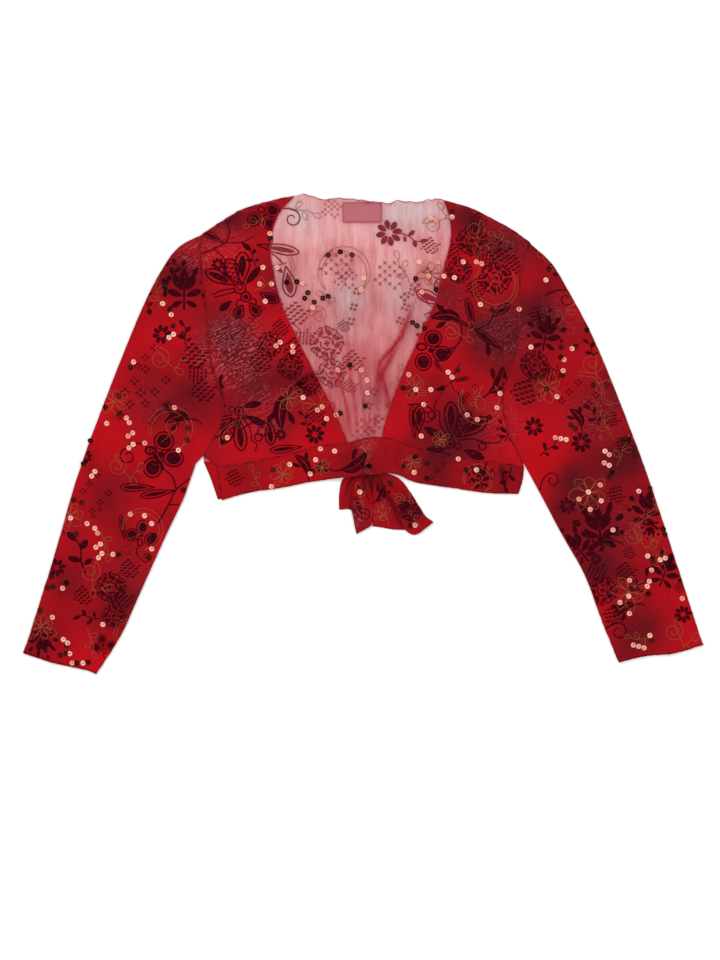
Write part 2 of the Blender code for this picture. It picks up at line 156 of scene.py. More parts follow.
RIGHT_BAND_TOP = [(-185, -43), (-165, -41), (-124, -34), (-80, -24), (-55, -17), (-19, -13)]
MIDDLE_BAND_TOP = [(-19, -13), (-1, -8), (11, -6), (24, -6)]
LEFT_BAND_TOP = [(24, -6), (37, -8), (53, -14), (88, -25), (123, -32), (174, -38), (204, -43)]
FRONT_BAND_BOTTOM = [(-179, -85), (-144, -75), (-108, -70), (-67, -62), (-14, -55), (37, -51),
                     (66, -62), (123, -71), (160, -76), (197, -77)]
FRONT_BAND_RIGHT_END = [(-185, -43), (-179, -85)]
FRONT_BAND_LEFT_END = [(204, -43), (202, -60), (197, -77)]

KNOT_CENTRE = (10.0, -42.0)
KNOT_SIZE = (44.0, 21.0, 7.0)
KNOT_RISE = 6.6
KNOT_RISE_CENTRE = (8.0, -45.0)
KNOT_RISE_REACH = (46.0, 27.0)
RIGHT_BACK_BAND_SIDE = [(-202, -36), (-192, -60), (-184, -84)]
LEFT_BACK_BAND_SIDE = [(203, -42), (200, -60), (195, -76)]

Tail = namedtuple("Tail", "under_hem fold top_hem under_end top_end")

RIGHT_TAIL = Tail(
    under_hem=[(-13, -50.6), (-26, -60), (-30, -79), (-30, -97)],
    fold=[(11.9, -50.6), (12.2, -75), (12.8, -100), (11.6, -117)],
    top_hem=[(-5, -50.6), (-16, -66), (-15, -92), (-8, -128)],
    under_end=[(-30, -97), (-14, -98), (11.6, -117)],
    top_end=[(11.6, -117), (-8, -128)],
)
LEFT_TAIL = Tail(
    under_hem=[(11.6, -50.6), (11.8, -80), (12.2, -100), (12.4, -118)],
    fold=[(31, -50.6), (49, -60), (65, -82), (79, -104), (90, -113)],
    top_hem=[(19, -50.6), (30, -77), (43, -101), (51, -121)],
    under_end=[(12.4, -118), (51, -122.5), (90, -113)],
    top_end=[(90, -113), (66, -129), (51, -121)],
)

LABEL_SIZE = (50.0, 26.0)
LABEL_CENTRE = (-1.0, 280.0)

# Creases: a soft ridge or, with a height under zero, a trough along each line
Fold = namedtuple("Fold", "line height half_width")

BACK_FOLDS = (
    Fold([(67, 171), (49, 122), (22, 90), (13, 38)], 4.0, 6.5),
    Fold([(44, 110), (34, 92), (23, 74), (17, 34)], 3.0, 6.8),
    Fold([(24, 74), (28, 59), (31, 45), (32, 28)], 2.2, 6.4),
    Fold([(-62, 200), (-38, 140), (-26, 92)], 1.5, 10.0),
    Fold([(-38, 92), (-24, 48), (-15, -4)], 1.4, 4.0),
    Fold([(-20, 112), (-12, 50), (-6, -8)], 1.1, 3.6),
    Fold([(-4, 84), (1, 36), (3, -8)], 1.4, 3.4),
    Fold([(26, 58), (17, 22), (13, -8)], 1.2, 3.4),
    Fold([(58, 148), (40, 112), (31, 92)], 1.3, 3.0),
    Fold([(-30, 66), (-20, 30), (-12, 0)], 0.8, 2.4),
    Fold([(8, 70), (8, 30), (8, -4)], 0.8, 2.2),
    Fold([(-52, 150), (-40, 110)], 0.7, 5.0),
)
FELT_FOLDS = BACK_FOLDS[:8]      # those that show through the layers above
FRONT_FOLDS = (
    Fold([(-190, 215), (-165, 150), (-158, 96)], 1.4, 11.0),
    Fold([(-150, 44), (-120, 14), (-84, -8)], 1.3, 9.0),
    Fold([(-150, 200), (-132, 130), (-118, 70)], 1.2, 10.0),
    Fold([(186, 200), (172, 150), (160, 106)], 1.5, 10.0),
    Fold([(160, 60), (130, 20), (96, -6)], 1.3, 9.0),
    Fold([(130, 226), (122, 160), (112, 100)], 1.2, 10.0),
    Fold([(-182, 120), (-160, 80), (-142, 30)], 0.9, 5.0),
    Fold([(-120, 150), (-96, 100), (-70, 62)], 0.8, 5.0),
    Fold([(-186, 60), (-170, 20), (-166, -18)], 0.8, 5.0),
    Fold([(-128, 262), (-150, 236), (-186, 228)], 0.9, 5.0),
    Fold([(-150, 140), (-128, 104)], 0.6, 3.5),
    Fold([(180, 160), (166, 128), (140, 92)], 1.0, 5.0),
    Fold([(116, 120), (102, 84), (92, 40)], 0.7, 4.5),
    Fold([(186, 28), (168, 8), (152, -16)], 0.9, 5.0),
    Fold([(150, 256), (168, 232), (190, 214)], 0.9, 5.0),
    Fold([(64, 62), (62, 34), (50, 4)], 0.6, 3.5),
)
SLEEVE_FOLDS = (
    Fold([(-222, 222), (-244, 170), (-262, 112)], 1.6, 10.0),
    Fold([(-214, 60), (-246, 34), (-292, 22)], 1.4, 9.0),
    Fold([(-212, 20), (-238, -24), (-276, -52)], 1.8, 9.0),
    Fold([(-236, -92), (-280, -82), (-330, -64)], 1.5, 9.0),
    Fold([(-300, -120), (-330, -176), (-352, -236)], 1.3, 10.0),
    Fold([(-262, 150), (-240, 110), (-224, 84)], 0.8, 5.0),
    Fold([(-226, 46), (-262, 10), (-300, 2)], 0.8, 4.5),
    Fold([(-262, -120), (-300, -128), (-344, -122)], 0.7, 5.0),
    Fold([(-376, -160), (-384, -206), (-398, -250)], 0.7, 6.0),
    Fold([(-330, 10), (-344, -44), (-352, -90)], 0.7, 6.0),
    Fold([(216, 210), (238, 160), (256, 104)], 1.6, 10.0),
    Fold([(212, 52), (244, 24), (286, 12)], 1.4, 9.0),
    Fold([(214, -6), (246, -44), (286, -70)], 1.8, 9.0),
    Fold([(250, -108), (290, -96), (336, -74)], 1.5, 9.0),
    Fold([(300, -130), (330, -190), (350, -244)], 1.3, 10.0),
    Fold([(262, 160), (244, 128), (224, 100)], 0.8, 5.0),
    Fold([(226, 70), (262, 60), (300, 62)], 0.8, 4.5),
    Fold([(256, -140), (296, -150), (346, -134)], 0.7, 5.0),
    Fold([(372, -150), (386, -200), (398, -246)], 0.7, 6.0),
    Fold([(326, 20), (342, -30), (352, -84)], 0.7, 6.0),
)
TAIL_FOLDS = (
    Fold([(-4, -54), (-14, -68), (-15, -90), (-10, -118)], 2.0, 6.5),
    Fold([(0, -54), (2, -72), (9, -90)], 2.4, 7.0),
    Fold([(-8, -54), (-20, -66), (-25, -92)], 2.0, 6.0),
    Fold([(5, -54), (10, -66), (12, -78)], 2.4, 6.0),
    Fold([(18, -56), (30, -76), (42, -100), (50, -120)], 2.6, 8.5),
    Fold([(12, -54), (22, -72), (30, -86)], 2.4, 6.0),
    Fold([(26, -56), (42, -74), (56, -92)], 1.3, 5.0),
    Fold([(34, -57), (56, -80), (68, -104)], 1.2, 5.0),
)
BAND_FOLDS = (
    Fold([(-46, -22), (-20, -30), (-6, -46)], 1.0, 4.0),
    Fold([(24, -10), (30, -26), (28, -46)], 0.9, 3.4),
    Fold([(44, -16), (40, -34), (52, -54)], 0.9, 4.0),
    Fold([(-70, -30), (-40, -44), (-16, -52)], 0.7, 4.0),
    Fold([(70, -26), (104, -44), (150, -52)], 0.5, 4.5),
    Fold([(-170, -52), (-130, -52), (-92, -44)], 0.5, 4.5),
)
FOLD_END = 0.08        # where on a half wave a crease starts, so that its ends fade

# Soft round spots that darken the cloth towards maroon, most of them the dye of a hand-dyed print
Spot = namedtuple("Spot", "x y reach depth")

DYE_SPOTS = [Spot(*row) for row in (
    (-172, 116, 44, 0.8), (-150, 66, 40, 0.7), (-110, 190, 30, 0.5), (-226, 208, 30, 0.9),
    (-160, 272, 30, 0.5), (-96, 74, 40, 0.55), (-268, 58, 44, 0.75), (-316, -76, 40, 0.7),
    (-376, -180, 36, 0.7), (-306, -204, 44, 0.9), (-222, 60, 30, 0.7), (-196, 20, 26, 0.5),
    (-116, 6, 30, 0.5), (-300, -150, 30, 0.6), (-410, -262, 30, 0.5), (-248, -110, 24, 0.5),
    (186, 242, 36, 1.0), (136, 274, 26, 0.8), (166, 116, 50, 1.0), (106, 160, 32, 0.7),
    (110, 4, 50, 0.9), (226, 150, 40, 0.8), (214, 66, 34, 0.8), (262, 128, 30, 0.5),
    (300, 30, 46, 0.9), (330, -30, 40, 0.8), (266, -60, 30, 0.7), (310, -120, 50, 1.0),
    (308, -168, 36, 0.9), (350, -250, 46, 1.0), (254, -96, 26, 0.8), (352, -84, 34, 0.7),
    (-20, -40, 30, 0.5), (90, -46, 36, 0.5), (-150, -60, 30, 0.3), (170, -60, 30, 0.5),
    (40, -100, 24, 0.5), (-8, -104, 20, 0.9), (66, -98, 24, 0.8), (6, -58, 12, 0.7),
    (26, -62, 10, 0.6),
    (-80, 276, 20, 0.8), (44, 280, 26, 0.8), (82, 276, 20, 0.7), (-16, 172, 24, 0.75),
    (-24, 140, 20, 0.5), (46, 172, 24, 0.6), (14, 44, 24, 0.5),
    # The spots from (226, 236) on follow the shoulders and the sleeves' outer edges and darken
    # the cloth along them.
    (66, 132, 16, 0.4), (226, 236, 26, 0.9), (262, 196, 24, 0.8), (296, 132, 20, 0.7),
    (322, 70, 18, 0.6), (196, 262, 24, 0.7), (-198, 258, 24, 0.8), (-176, 276, 22, 0.7),
    (-262, 196, 16, 0.5),
)]

# Crinkled patches: fine ridges that follow one direction, strongest at the middle; they also set
# where pale glints are painted as highlights
Crinkle = namedtuple("Crinkle", "centre reach turn spacing height")

FRONT_CRINKLES = (
    Crinkle((-164, 104), 46, 38, 4.2, 0.34),
    Crinkle((-128, 24), 34, 70, 4.6, 0.22),
    Crinkle((178, 128), 36, -30, 4.4, 0.20),
    Crinkle((176, 232), 34, -60, 4.2, 0.16),
    Crinkle((176, 10), 36, -70, 4.4, 0.16),
    Crinkle((106, 164), 30, -60, 4.2, 0.16),
    Crinkle((-176, 232), 30, 60, 4.2, 0.22),
)
# These patches make no ridges: they only set where pale glints are painted as highlights.
GLINT_ONLY_PATCHES = (
    Crinkle((-214, 228), 26, 20, 4.2, 0.24),
    Crinkle((-10, -106), 13, 20, 4.2, 0.32),
    Crinkle((20, -102), 10, 20, 4.2, 0.32),
    Crinkle((4, -14), 12, 20, 4.2, 0.34),
    Crinkle((-270, 40), 30, 40, 4.6, 0.12),
    Crinkle((-296, -180), 34, 60, 4.6, 0.12),
    Crinkle((250, 150), 30, -40, 4.6, 0.16),
    Crinkle((292, 20), 34, -50, 4.6, 0.18),
    Crinkle((340, -120), 36, -60, 4.6, 0.14),
)
BACK_CRINKLES = (
    Crinkle((0, 60), 90, 88, 4.6, 0.26),
    Crinkle((-20, 200), 120, 92, 6.5, 0.12),
    Crinkle((12, 20), 40, 80, 3.6, 0.30),
)


# Curves and nets in plan

def smooth_curve(points, per_span=16):
    """Points along a Catmull-Rom curve through a few."""
    knots = np.array(points, float)
    knots = np.vstack([2 * knots[0] - knots[1], knots, 2 * knots[-1] - knots[-2]])
    steps = np.arange(per_span)[:, None] / per_span
    spans = []
    for k in range(1, len(knots) - 2):
        a, b, c, d = knots[k - 1:k + 3]
        spans.append(0.5 * (2 * b + (c - a) * steps + (2 * a - 5 * b + 4 * c - d) * steps ** 2
                            + (3 * b - a - 3 * c + d) * steps ** 3))
    return np.vstack(spans + [knots[-2:-1]])


def along(curve, distances):
    """Points of a polyline at these distances from its start."""
    lengths = np.concatenate([[0], np.cumsum(np.linalg.norm(np.diff(curve, axis=0), axis=1))])
    return np.stack([np.interp(distances, lengths, curve[:, k])
                     for k in range(curve.shape[1])], axis=1)


def length_of(curve):
    return float(np.linalg.norm(np.diff(curve, axis=0), axis=1).sum())


def unit(vectors):
    return vectors / np.maximum(np.linalg.norm(vectors, axis=-1, keepdims=True), 1e-6)


def left_of(line):
    """Unit vectors square to a line in plan, on its left."""
    ahead = unit(np.gradient(line, axis=0))
    return np.stack([-ahead[:, 1], ahead[:, 0]], axis=1)


def joined(*lines):
    """Lines that meet end to end, as one."""
    return np.vstack([lines[0]] + [line[1:] for line in lines[1:]])


def around(centre, radius, angle, squash=1.0):
    """The point of a circle or an oval at an angle in radians."""
    return (centre[0] + radius * math.cos(angle), centre[1] + squash * radius * math.sin(angle))


def polar(radius, degrees, centre=(0, 0)):
    return around(centre, radius, math.radians(degrees))


def moved(points, x, y, turn, size):
    """Plan points turned in degrees, scaled and moved."""
    c, s = size * math.cos(math.radians(turn)), size * math.sin(math.radians(turn))
    return [(x + c * px - s * py, y + s * px + c * py) for px, py in points]


def sample(points, cells):
    """cells + 1 points, evenly spaced along the smooth curve through points."""
    curve = smooth_curve(points)
    return along(curve, np.linspace(0, length_of(curve), cells + 1))


def patch(top, bottom, start, end):
    """Rows of plan points between four edges that share their corners (a Coons patch)."""
    u = np.linspace(0, 1, len(top))[None, :, None]
    v = np.linspace(0, 1, len(start))[:, None, None]
    ruled = ((1 - v) * top[None] + v * bottom[None]
             + (1 - u) * start[:, None] + u * end[:, None])
    corners = ((1 - u) * ((1 - v) * top[0] + v * bottom[0])
               + u * ((1 - v) * top[-1] + v * bottom[-1]))
    return ruled - corners


def parameters(net):
    """u and v of each point of a net."""
    rows, columns = net.shape[:2]
    return np.meshgrid(np.linspace(0, 1, columns), np.linspace(0, 1, rows))


def with_height(net, height):
    return np.concatenate([net, height[..., None]], axis=2)


# Heights

def soft_step(value):
    t = np.clip(value, 0, 1)
    return t * t * (3 - 2 * t)


def past(share, start):
    """From 0 at a start softly up to 1 at the end."""
    return soft_step((share - start) / (1 - start))


def fold_height(folds, net):
    """Height of the soft ridges at each plan point, each fading out towards its ends."""
    height = np.zeros(net.shape[:-1])
    for fold in folds:
        line = np.array(fold.line, float)
        nearest = np.full(height.shape, np.inf)
        progress = np.zeros(height.shape)
        for k, (a, b) in enumerate(zip(line, line[1:])):
            t = np.clip(((net - a) @ (b - a)) / ((b - a) @ (b - a)), 0, 1)
            distance = np.linalg.norm(net - (a + t[..., None] * (b - a)), axis=-1)
            closer = distance < nearest
            nearest = np.where(closer, distance, nearest)
            progress = np.where(closer, (k + t) / (len(line) - 1), progress)
        fade = np.sin(math.pi * (FOLD_END + (1 - 2 * FOLD_END) * progress))
        height += fold.height * fade * np.exp(-(nearest / fold.half_width) ** 2)
    return height


def shaded_crease_depth(folds, net):
    """How deep the shade painted along each crease is, from 0 to 1; on the sheer back it also
    thickens the doubled cloth.
    """
    narrow = [Fold(f.line, min(f.height / 2.4, 1.0), 0.30 * f.half_width)
              for f in folds if f.half_width < 9]
    return np.clip(fold_height(narrow, net), 0, 1)


def knot_rise(net):
    x = (net[..., 0] - KNOT_RISE_CENTRE[0]) / KNOT_RISE_REACH[0]
    y = (net[..., 1] - KNOT_RISE_CENTRE[1]) / KNOT_RISE_REACH[1]
    return KNOT_RISE * np.exp(-x ** 4 - y ** 4)


def soft_noise(net, wavelength, seed):
    """Smooth noise from -1 to 1 at each plan point."""
    flat = net[..., :2].reshape(-1, 2) / wavelength
    values = [noise.noise(Vector((x, y, seed))) for x, y in flat]
    return np.array(values).reshape(net.shape[:2])


def crinkle_height(crinkles, net):
    """Fine uneven ridges over patches of the cloth."""
    height = np.zeros(net.shape[:2])
    for k, crinkle in enumerate(crinkles):
        away = net - np.array(crinkle.centre, float)
        mask = np.exp(-(np.linalg.norm(away, axis=-1) / crinkle.reach) ** 2)
        turn = math.radians(crinkle.turn)
        across = away @ np.array([-math.sin(turn), math.cos(turn)])
        wander = soft_noise(net, 5 * crinkle.spacing, k) * 1.1 * crinkle.spacing
        break_up = 0.5 + 0.5 * soft_noise(net, 3 * crinkle.spacing, k + 9)
        ripple = np.sin(2 * math.pi * (across + wander) / crinkle.spacing)
        height += crinkle.height * mask * break_up * ripple
    return height


def dye_depth(points):
    """How deep the maroon dye is at each point, from 0 to 1."""
    clear = np.ones(len(points))
    for spot in DYE_SPOTS:
        away = np.hypot(points[:, 0] - spot.x, points[:, 1] - spot.y) / spot.reach
        clear *= 1 - spot.depth * np.exp(-away ** 2)
    return 1 - clear


def painted_glint_depth(points):
    """How strong the painted glint highlights of the crushed mesh are at each point, from 0 to 1.
    """
    smooth = np.ones(len(points))
    for crinkle in FRONT_CRINKLES + GLINT_ONLY_PATCHES:
        away = np.hypot(points[:, 0] - crinkle.centre[0], points[:, 1] - crinkle.centre[1])
        smooth *= 1 - min((3 * crinkle.height) ** 2, 1) * np.exp(-(away / crinkle.reach) ** 4)
    return 1 - smooth


def rumple(net, seed, height=0.16, wavelength=17.0):
    """The slight unevenness that any laid cloth has."""
    return height * soft_noise(net, wavelength, seed) + 0.4 * height * soft_noise(
        net, wavelength / 2.6, seed + 3)


# Meshes

collection = bpy.data.collections.new("bolero")
bpy.context.scene.collection.children.link(collection)


def place_object(name, data):
    placed = bpy.data.objects.new(name, data)
    collection.objects.link(placed)
    return placed


def make_object(name, points, faces, materials, closed=False):
    mesh = bpy.data.meshes.new(name)
    mesh.from_pydata([tuple(p) for p in np.asarray(points) * MM], [], faces)
    if closed:
        shape = bmesh.new()
        shape.from_mesh(mesh)
        bmesh.ops.recalc_face_normals(shape, faces=shape.faces)
        shape.to_mesh(mesh)
        shape.free()
    for material in materials:
        mesh.materials.append(material)
    mesh.shade_smooth()
    return place_object(name, mesh)


def net_faces(rows, columns, closed=False):
    across = columns if closed else columns - 1
    return [(j * columns + i, (j + 1) * columns + i,
             (j + 1) * columns + (i + 1) % columns, j * columns + (i + 1) % columns)
            for j in range(rows - 1) for i in range(across)]


def thicken(piece, thickness, under_material=0):
    wall = piece.modifiers.new("Wall", "SOLIDIFY")
    wall.thickness = thickness * MM
    wall.offset = 0.0
    wall.material_offset = under_material
    return piece


RAY_START = 60.0       # from where a height on the cloth is looked for


class Panel:
    """One cloth piece: its net, its mesh and the tree that finds heights on it."""

    def __init__(self, name, net, materials, folds=(), closed=False, flip=False, rim_shade=0.0):
        rows, columns = net.shape[:2]
        self.net = net
        self.points = net.reshape(-1, 3)
        faces = net_faces(rows, columns, closed)
        if flip:
            faces = [face[::-1] for face in faces]
        self.tree = BVHTree.FromPolygons([tuple(p) for p in self.points], faces)
        self.piece = make_object(name, self.points, faces, materials)
        thicken(self.piece, SHELL, 1 if len(materials) > 1 else 0)
        self.sewn = []
        # Dye is the print's own colour; the pale glints and the shade along creases and folded
        # edges are painted light.
        self.paint("dye", dye_depth(self.points))
        self.paint("painted_glint", painted_glint_depth(self.points))
        self.paint("shaded_crease", np.maximum(shaded_crease_depth(folds, self.points[:, :2]), np.ravel(rim_shade)))

    def paint(self, name, values):
        """Keep a value from 0 to 1 at each point for the materials."""
        attribute = self.piece.data.attributes.new(name, "FLOAT", "POINT")
        attribute.data.foreach_set("value", np.asarray(values, np.float32))

    def height(self, x, y, side):
        """Height of the cloth's middle at a plan point, seen from above or below."""
        hit = self.tree.ray_cast(Vector((x, y, side * RAY_START)), Vector((0, 0, -side)))[0]
        return None if hit is None else hit.z

    def area(self):
        return sum(polygon.area for polygon in self.piece.data.polygons)


# Drawings: flat shapes in millimetres, laid on a panel later

CROSS_TURN = 0.22 * math.pi
CORNER_REACH = 0.705       # from the middle of a square to its corners, over its side


class Drawing:
    def __init__(self):
        self.points = []
        self.faces = []

    def add_strip(self, left, right):
        first = len(self.points)
        self.points += [tuple(p) for pair in zip(left, right) for p in pair]
        self.faces += [(first + 2 * k, first + 2 * k + 1, first + 2 * k + 3, first + 2 * k + 2)
                       for k in range(len(left) - 1)]

    def add_net(self, net):
        rows, columns = net.shape[:2]
        first = len(self.points)
        self.points += [tuple(p) for p in net.reshape(-1, 2)]
        self.faces += [tuple(first + k for k in face) for face in net_faces(rows, columns)]

    def stroke(self, line, width, step=2.2, taper=0.0):
        """A line of the print: taper is the share of its width lost at the end."""
        curve = smooth_curve(line) if len(line) > 2 else np.array(line, float)
        cells = max(1, int(length_of(curve) / step))
        points = along(curve, np.linspace(0, length_of(curve), cells + 1))
        half = 0.5 * width * (1 - taper * np.linspace(0, 1, cells + 1))[:, None]
        self.add_strip(points - half * left_of(points), points + half * left_of(points))

    def leaf_side(self, base, tip, width, t, side, skew=1.15):
        """A point on one side of a leaf; a larger skew carries its belly towards the tip."""
        base, tip = np.array(base, float), np.array(tip, float)
        t = np.asarray(t, float)
        belly = np.sin(math.pi * t ** skew) ** 0.62
        return (base + t[..., None] * (tip - base)
                + (side * 0.5 * width * belly)[..., None] * left_of([base, tip])[0])

    def leaf(self, base, tip, width, skew=1.15):
        """A filled leaf or petal."""
        length = math.dist(base, tip)
        t = 0.5 - 0.49 * np.cos(np.linspace(0, math.pi, max(6, int(length / 2.4))))
        left = self.leaf_side(base, tip, width, t, 1, skew)
        right = self.leaf_side(base, tip, width, t, -1, skew)
        columns = np.linspace(0, 1, 2 + int(width / 4))[None, :, None]
        self.add_net(left[:, None] * (1 - columns) + right[:, None] * columns)

    def leaf_outline(self, base, tip, width, line, skew=1.6):
        t = 0.5 - 0.5 * np.cos(np.linspace(0, math.pi, 12))
        left = self.leaf_side(base, tip, width, t, 1, skew)
        right = self.leaf_side(base, tip, width, t, -1, skew)[::-1]
        self.stroke([tuple(p) for p in np.vstack([left, right[1:]])], line, step=2.0)

    def lined_leaf(self, base, tip, width, line=1.7, core=0.5, skew=1.6):
        """A petal with an outline, a gap and a filled middle."""
        self.leaf_outline(base, tip, width, line, skew)
        base, tip = np.array(base, float), np.array(tip, float)
        self.leaf(tuple(base + 0.20 * (tip - base)), tuple(base + 0.90 * (tip - base)),
                  width * core, 1.35)

    def lattice_leaf(self, base, tip, width, line=1.2, bars=4):
        """A petal outlined and crossed by a net of lines."""
        self.leaf_outline(base, tip, width, 1.8 * line)
        for k in range(bars):
            low = 0.16 + 0.68 * k / bars
            high = min(low + 0.26, 0.93)
            for side in (-1, 1):
                a = self.leaf_side(base, tip, 0.92 * width, low, side, 1.6)
                b = self.leaf_side(base, tip, 0.92 * width, high, -side, 1.6)
                self.stroke([tuple(a), tuple(b)], line)

    def disc(self, centre, radius, squash=1.0):
        self.add_net(np.array([
            [around(centre, share * radius, math.pi * k / 7, squash) for k in range(15)]
            for share in (1.0, 0.55, 0.02)]))

    def ring(self, centre, radius, width, squash=1.0):
        points = [around(centre, radius, math.pi * k / 6, squash) for k in range(13)]
        self.stroke(points, width, step=1.8)

    def stitch(self, centre, size):
        """One small stitch of a counted pattern."""
        reach = CORNER_REACH * size * rng.uniform(0.85, 1.1)
        self.square(centre, reach, rng.uniform(-0.3, 0.3))

    def square(self, centre, reach, turn):
        """A four-sided face, its corners at this reach from the centre."""
        first = len(self.points)
        self.points += [around(centre, reach, turn + math.pi * (0.25 + 0.5 * k))
                        for k in range(4)]
        self.faces.append((first, first + 1, first + 2, first + 3))
        return first

    def cross(self, centre, size, width):
        """Two thin bars that cross, in one piece."""
        first = self.square(centre, 0.7 * width, CROSS_TURN)
        for k in range(4):
            a = CROSS_TURN + 0.5 * math.pi * k
            end = around(centre, 0.5 * size, a)
            tip = len(self.points)
            self.points += [around(end, 0.5 * width, a + side * math.pi / 2) for side in (-1, 1)]
            self.faces.append((first + (k - 1) % 4, tip, tip + 1, first + k))

    def counted(self, shows, reach, pitch=2.45, size=2.25):
        """Stitches on a square count wherever shows(i, j) holds."""
        for i in range(-reach, reach + 1):
            for j in range(-reach, reach + 1):
                if shows(i, j):
                    self.stitch((pitch * i, pitch * j), size)

    def merge(self, other, x, y, turn, size):
        """Add another drawing, turned in degrees, scaled and moved."""
        first = len(self.points)
        self.points += moved(other.points, x, y, turn, size)
        self.faces += [tuple(first + k for k in face) for face in other.faces]


def spiral(centre, start_radius, end_radius, turns, start=0.0):
    points = []
    count = max(6, int(10 * abs(turns)))
    for k in range(count + 1):
        t = k / count
        radius = start_radius + (end_radius - start_radius) * t
        points.append(around(centre, radius, start + 2 * math.pi * turns * t))
    return points


# Flocked motifs, each about the origin with its top towards +Y

def lotus(d):
    """A fan of tall petals, one of them a net, over rings, drops and tendrils."""
    d.ring((0, 0), 7.2, 1.7)
    d.ring((0, 1), 3.6, 1.3)
    d.ring((6, -12), 6.2, 1.7)
    d.disc((6, -12), 3.4)
    d.lined_leaf((3, 4), (8, 45), 18.5, 1.9)
    d.lattice_leaf((-2, 6), (-12, 38), 18, 1.0)
    d.lined_leaf((-5, 4), (-41, 26), 15, 1.9)
    d.leaf((8, 4), (28, 24), 9)
    d.stroke([(-7, 0), (-24, -1), (-36, -5)], 1.6, taper=0.3)
    d.stroke([(-7, -4), (-22, -7), (-34, -8)], 1.6, taper=0.3)
    for side in (-1, 1):
        d.stroke([(6 + 3 * side, -17), (6 + 9 * side, -15), (6 + 13 * side, -19),
                  (6 + 11 * side, -23)], 1.6)
    d.lined_leaf((1, -22), (-9, -37), 13, 1.8, 0.6)
    d.lined_leaf((10, -20), (20, -37), 13, 1.8, 0.6)
    d.leaf((-12, -15), (-29, -26), 9, 1.4)
    d.lined_leaf((24, -9), (47, -22), 13, 1.7, 0.72)


def small_lotus(d):
    """The flower again, seen more closed, with loops on tendrils at both sides."""
    d.ring((-3, -2), 5.6, 1.6)
    d.disc((-3, -2), 2.4)
    d.ring((7, -4), 3.8, 1.4)
    d.lined_leaf((-2, 5), (-8, 51), 17, 1.9)
    d.lattice_leaf((3, 8), (17, 41), 16, 1.0)
    d.lined_leaf((6, 7), (40, 35), 17, 1.9)
    right = [(6, 3), (24, 7), (42, 4), (58, 6)] + spiral((56, 12), 6.0, 3.0, 0.55, -1.2)
    d.stroke(right, 1.7, taper=0.3)
    d.ring((38, -1), 4.6, 1.5)
    d.stroke([(-6, 6), (-18, 20), (-21, 36), (-28, 41), (-26, 52)], 1.7, taper=0.3)
    d.ring((-30, 32), 5.0, 1.5)
    d.leaf((-12, 4), (-38, 15), 10, 1.4)
    d.leaf((14, -8), (42, -16), 11, 1.3)
    d.leaf((-8, -8), (-32, -14), 9, 1.3)
    d.lined_leaf((-44, 8), (-47, 42), 14, 1.8)


def orchid(d):
    """Round outlined petals with filled middles, and a tendril that curls away."""
    for centre, radius, squash in (((3, 13), 10.2, 0.95), ((13, -5), 10.4, 0.84),
                                   ((-9, -15), 9.6, 1.08)):
        d.disc(centre, 0.74 * radius, squash)
        d.ring(centre, radius, 1.6, squash)
    d.ring((-11, 3), 5.6, 2.0, 0.7)
    d.disc((0, -1), 3.2)
    curl_line = [(-14, 6), (-24, 11), (-35, 9)]
    curl_line += spiral((-35, -3), 9.5, 3.0, 1.15, 1.6)
    d.stroke(curl_line, 1.6, taper=0.3)
    for k in range(6):
        d.stitch(polar(21 + 2.8 * k, 122 - 2 * k), 1.2)


def long_leaf(d):
    d.lined_leaf((0, -26), (0, 26), 12, 1.6, 0.46)


def branch(d):
    """A curving stem with outlined leaves along it."""
    d.stroke([(-36, -34), (-14, -14), (2, 2), (26, 12), (44, 30)], 2.0, taper=0.4)
    d.stroke([(2, 2), (2, 20), (-6, 34)], 1.7)
    d.lined_leaf((-6, 32), (-14, 64), 12, 1.6)
    d.lined_leaf((0, 1), (-46, 8), 10.5, 1.6)
    d.stroke([(-14, -14), (6, -22), (16, -36)], 1.7)
    d.lined_leaf((15, -34), (22, -64), 11, 1.6)
    d.leaf((26, 12), (46, 6), 8)


def drop(d):
    """A filled drop inside an outline, with two lines that lead to it."""
    d.lined_leaf((-4, 20), (3, -19), 17, 1.9, 0.58)
    d.stroke([(-22, 36), (-14, 30), (-7, 22)], 1.7)


def daisy(d):
    for k in range(8):
        angle = 45 * k + 11
        d.leaf(polar(3.0, angle), polar(12.5, angle), 5.6, 1.25)


def sprig(d):
    d.stroke([(0, -16), (1, -5), (5, 6), (4, 15)], 1.5, taper=0.3)
    d.leaf((1, -5), (-8, 2), 5.5)
    d.leaf((4, 4), (13, 9), 6)
    d.leaf((4, 12), (0, 22), 5.5)
    d.leaf((2, -9), (10, -7), 4.5)


def tulip(d):
    """A folk flower: an open cup, side leaves and a stem."""
    d.leaf((0, 0), (0, 23), 9)
    for side in (-1, 1):
        d.leaf((side * 2, -1), (side * 11, 15), 9.5, 1.3)
        d.leaf((side * 9, 12), (side * 15, 25), 5.5)
        d.leaf((side * 2, -7), (side * 19, -1), 7.5)
        d.leaf((side * 2, -13), (side * 14, -19), 6)
        d.leaf((side * 17, 6), (side * 25, 11), 6)
        d.disc((side * 21, -6), 2.4)
    d.stroke([(0, 0), (0, -22)], 2.0)
    d.leaf((0, 26), (0, 33), 4.5)


def wavy_leaf(d):
    """A curved leaf with three points, a slit showing along its middle."""
    spine = smooth_curve([(0, -18), (5, -8), (4, 4), (-1, 16)])
    t = np.linspace(0, 1, len(spine))[:, None]
    out = np.sin(math.pi * (0.03 + 0.94 * t)) ** 0.8 * left_of(spine)
    for inner, outer in ((0.8, 7.0), (-0.8, -6.0)):
        d.add_strip((spine + inner * out)[::3], (spine + outer * out)[::3])
    d.leaf((7, 0), (15, 12), 5.5)
    d.leaf((-3, -2), (-12, 9), 5.5)
    d.stroke([(0, -18), (-3, -26), (-9, -31)], 1.7, taper=0.3)


def eight_sided(i, j):
    return max(abs(i), abs(j), 0.72 * (abs(i) + abs(j)))


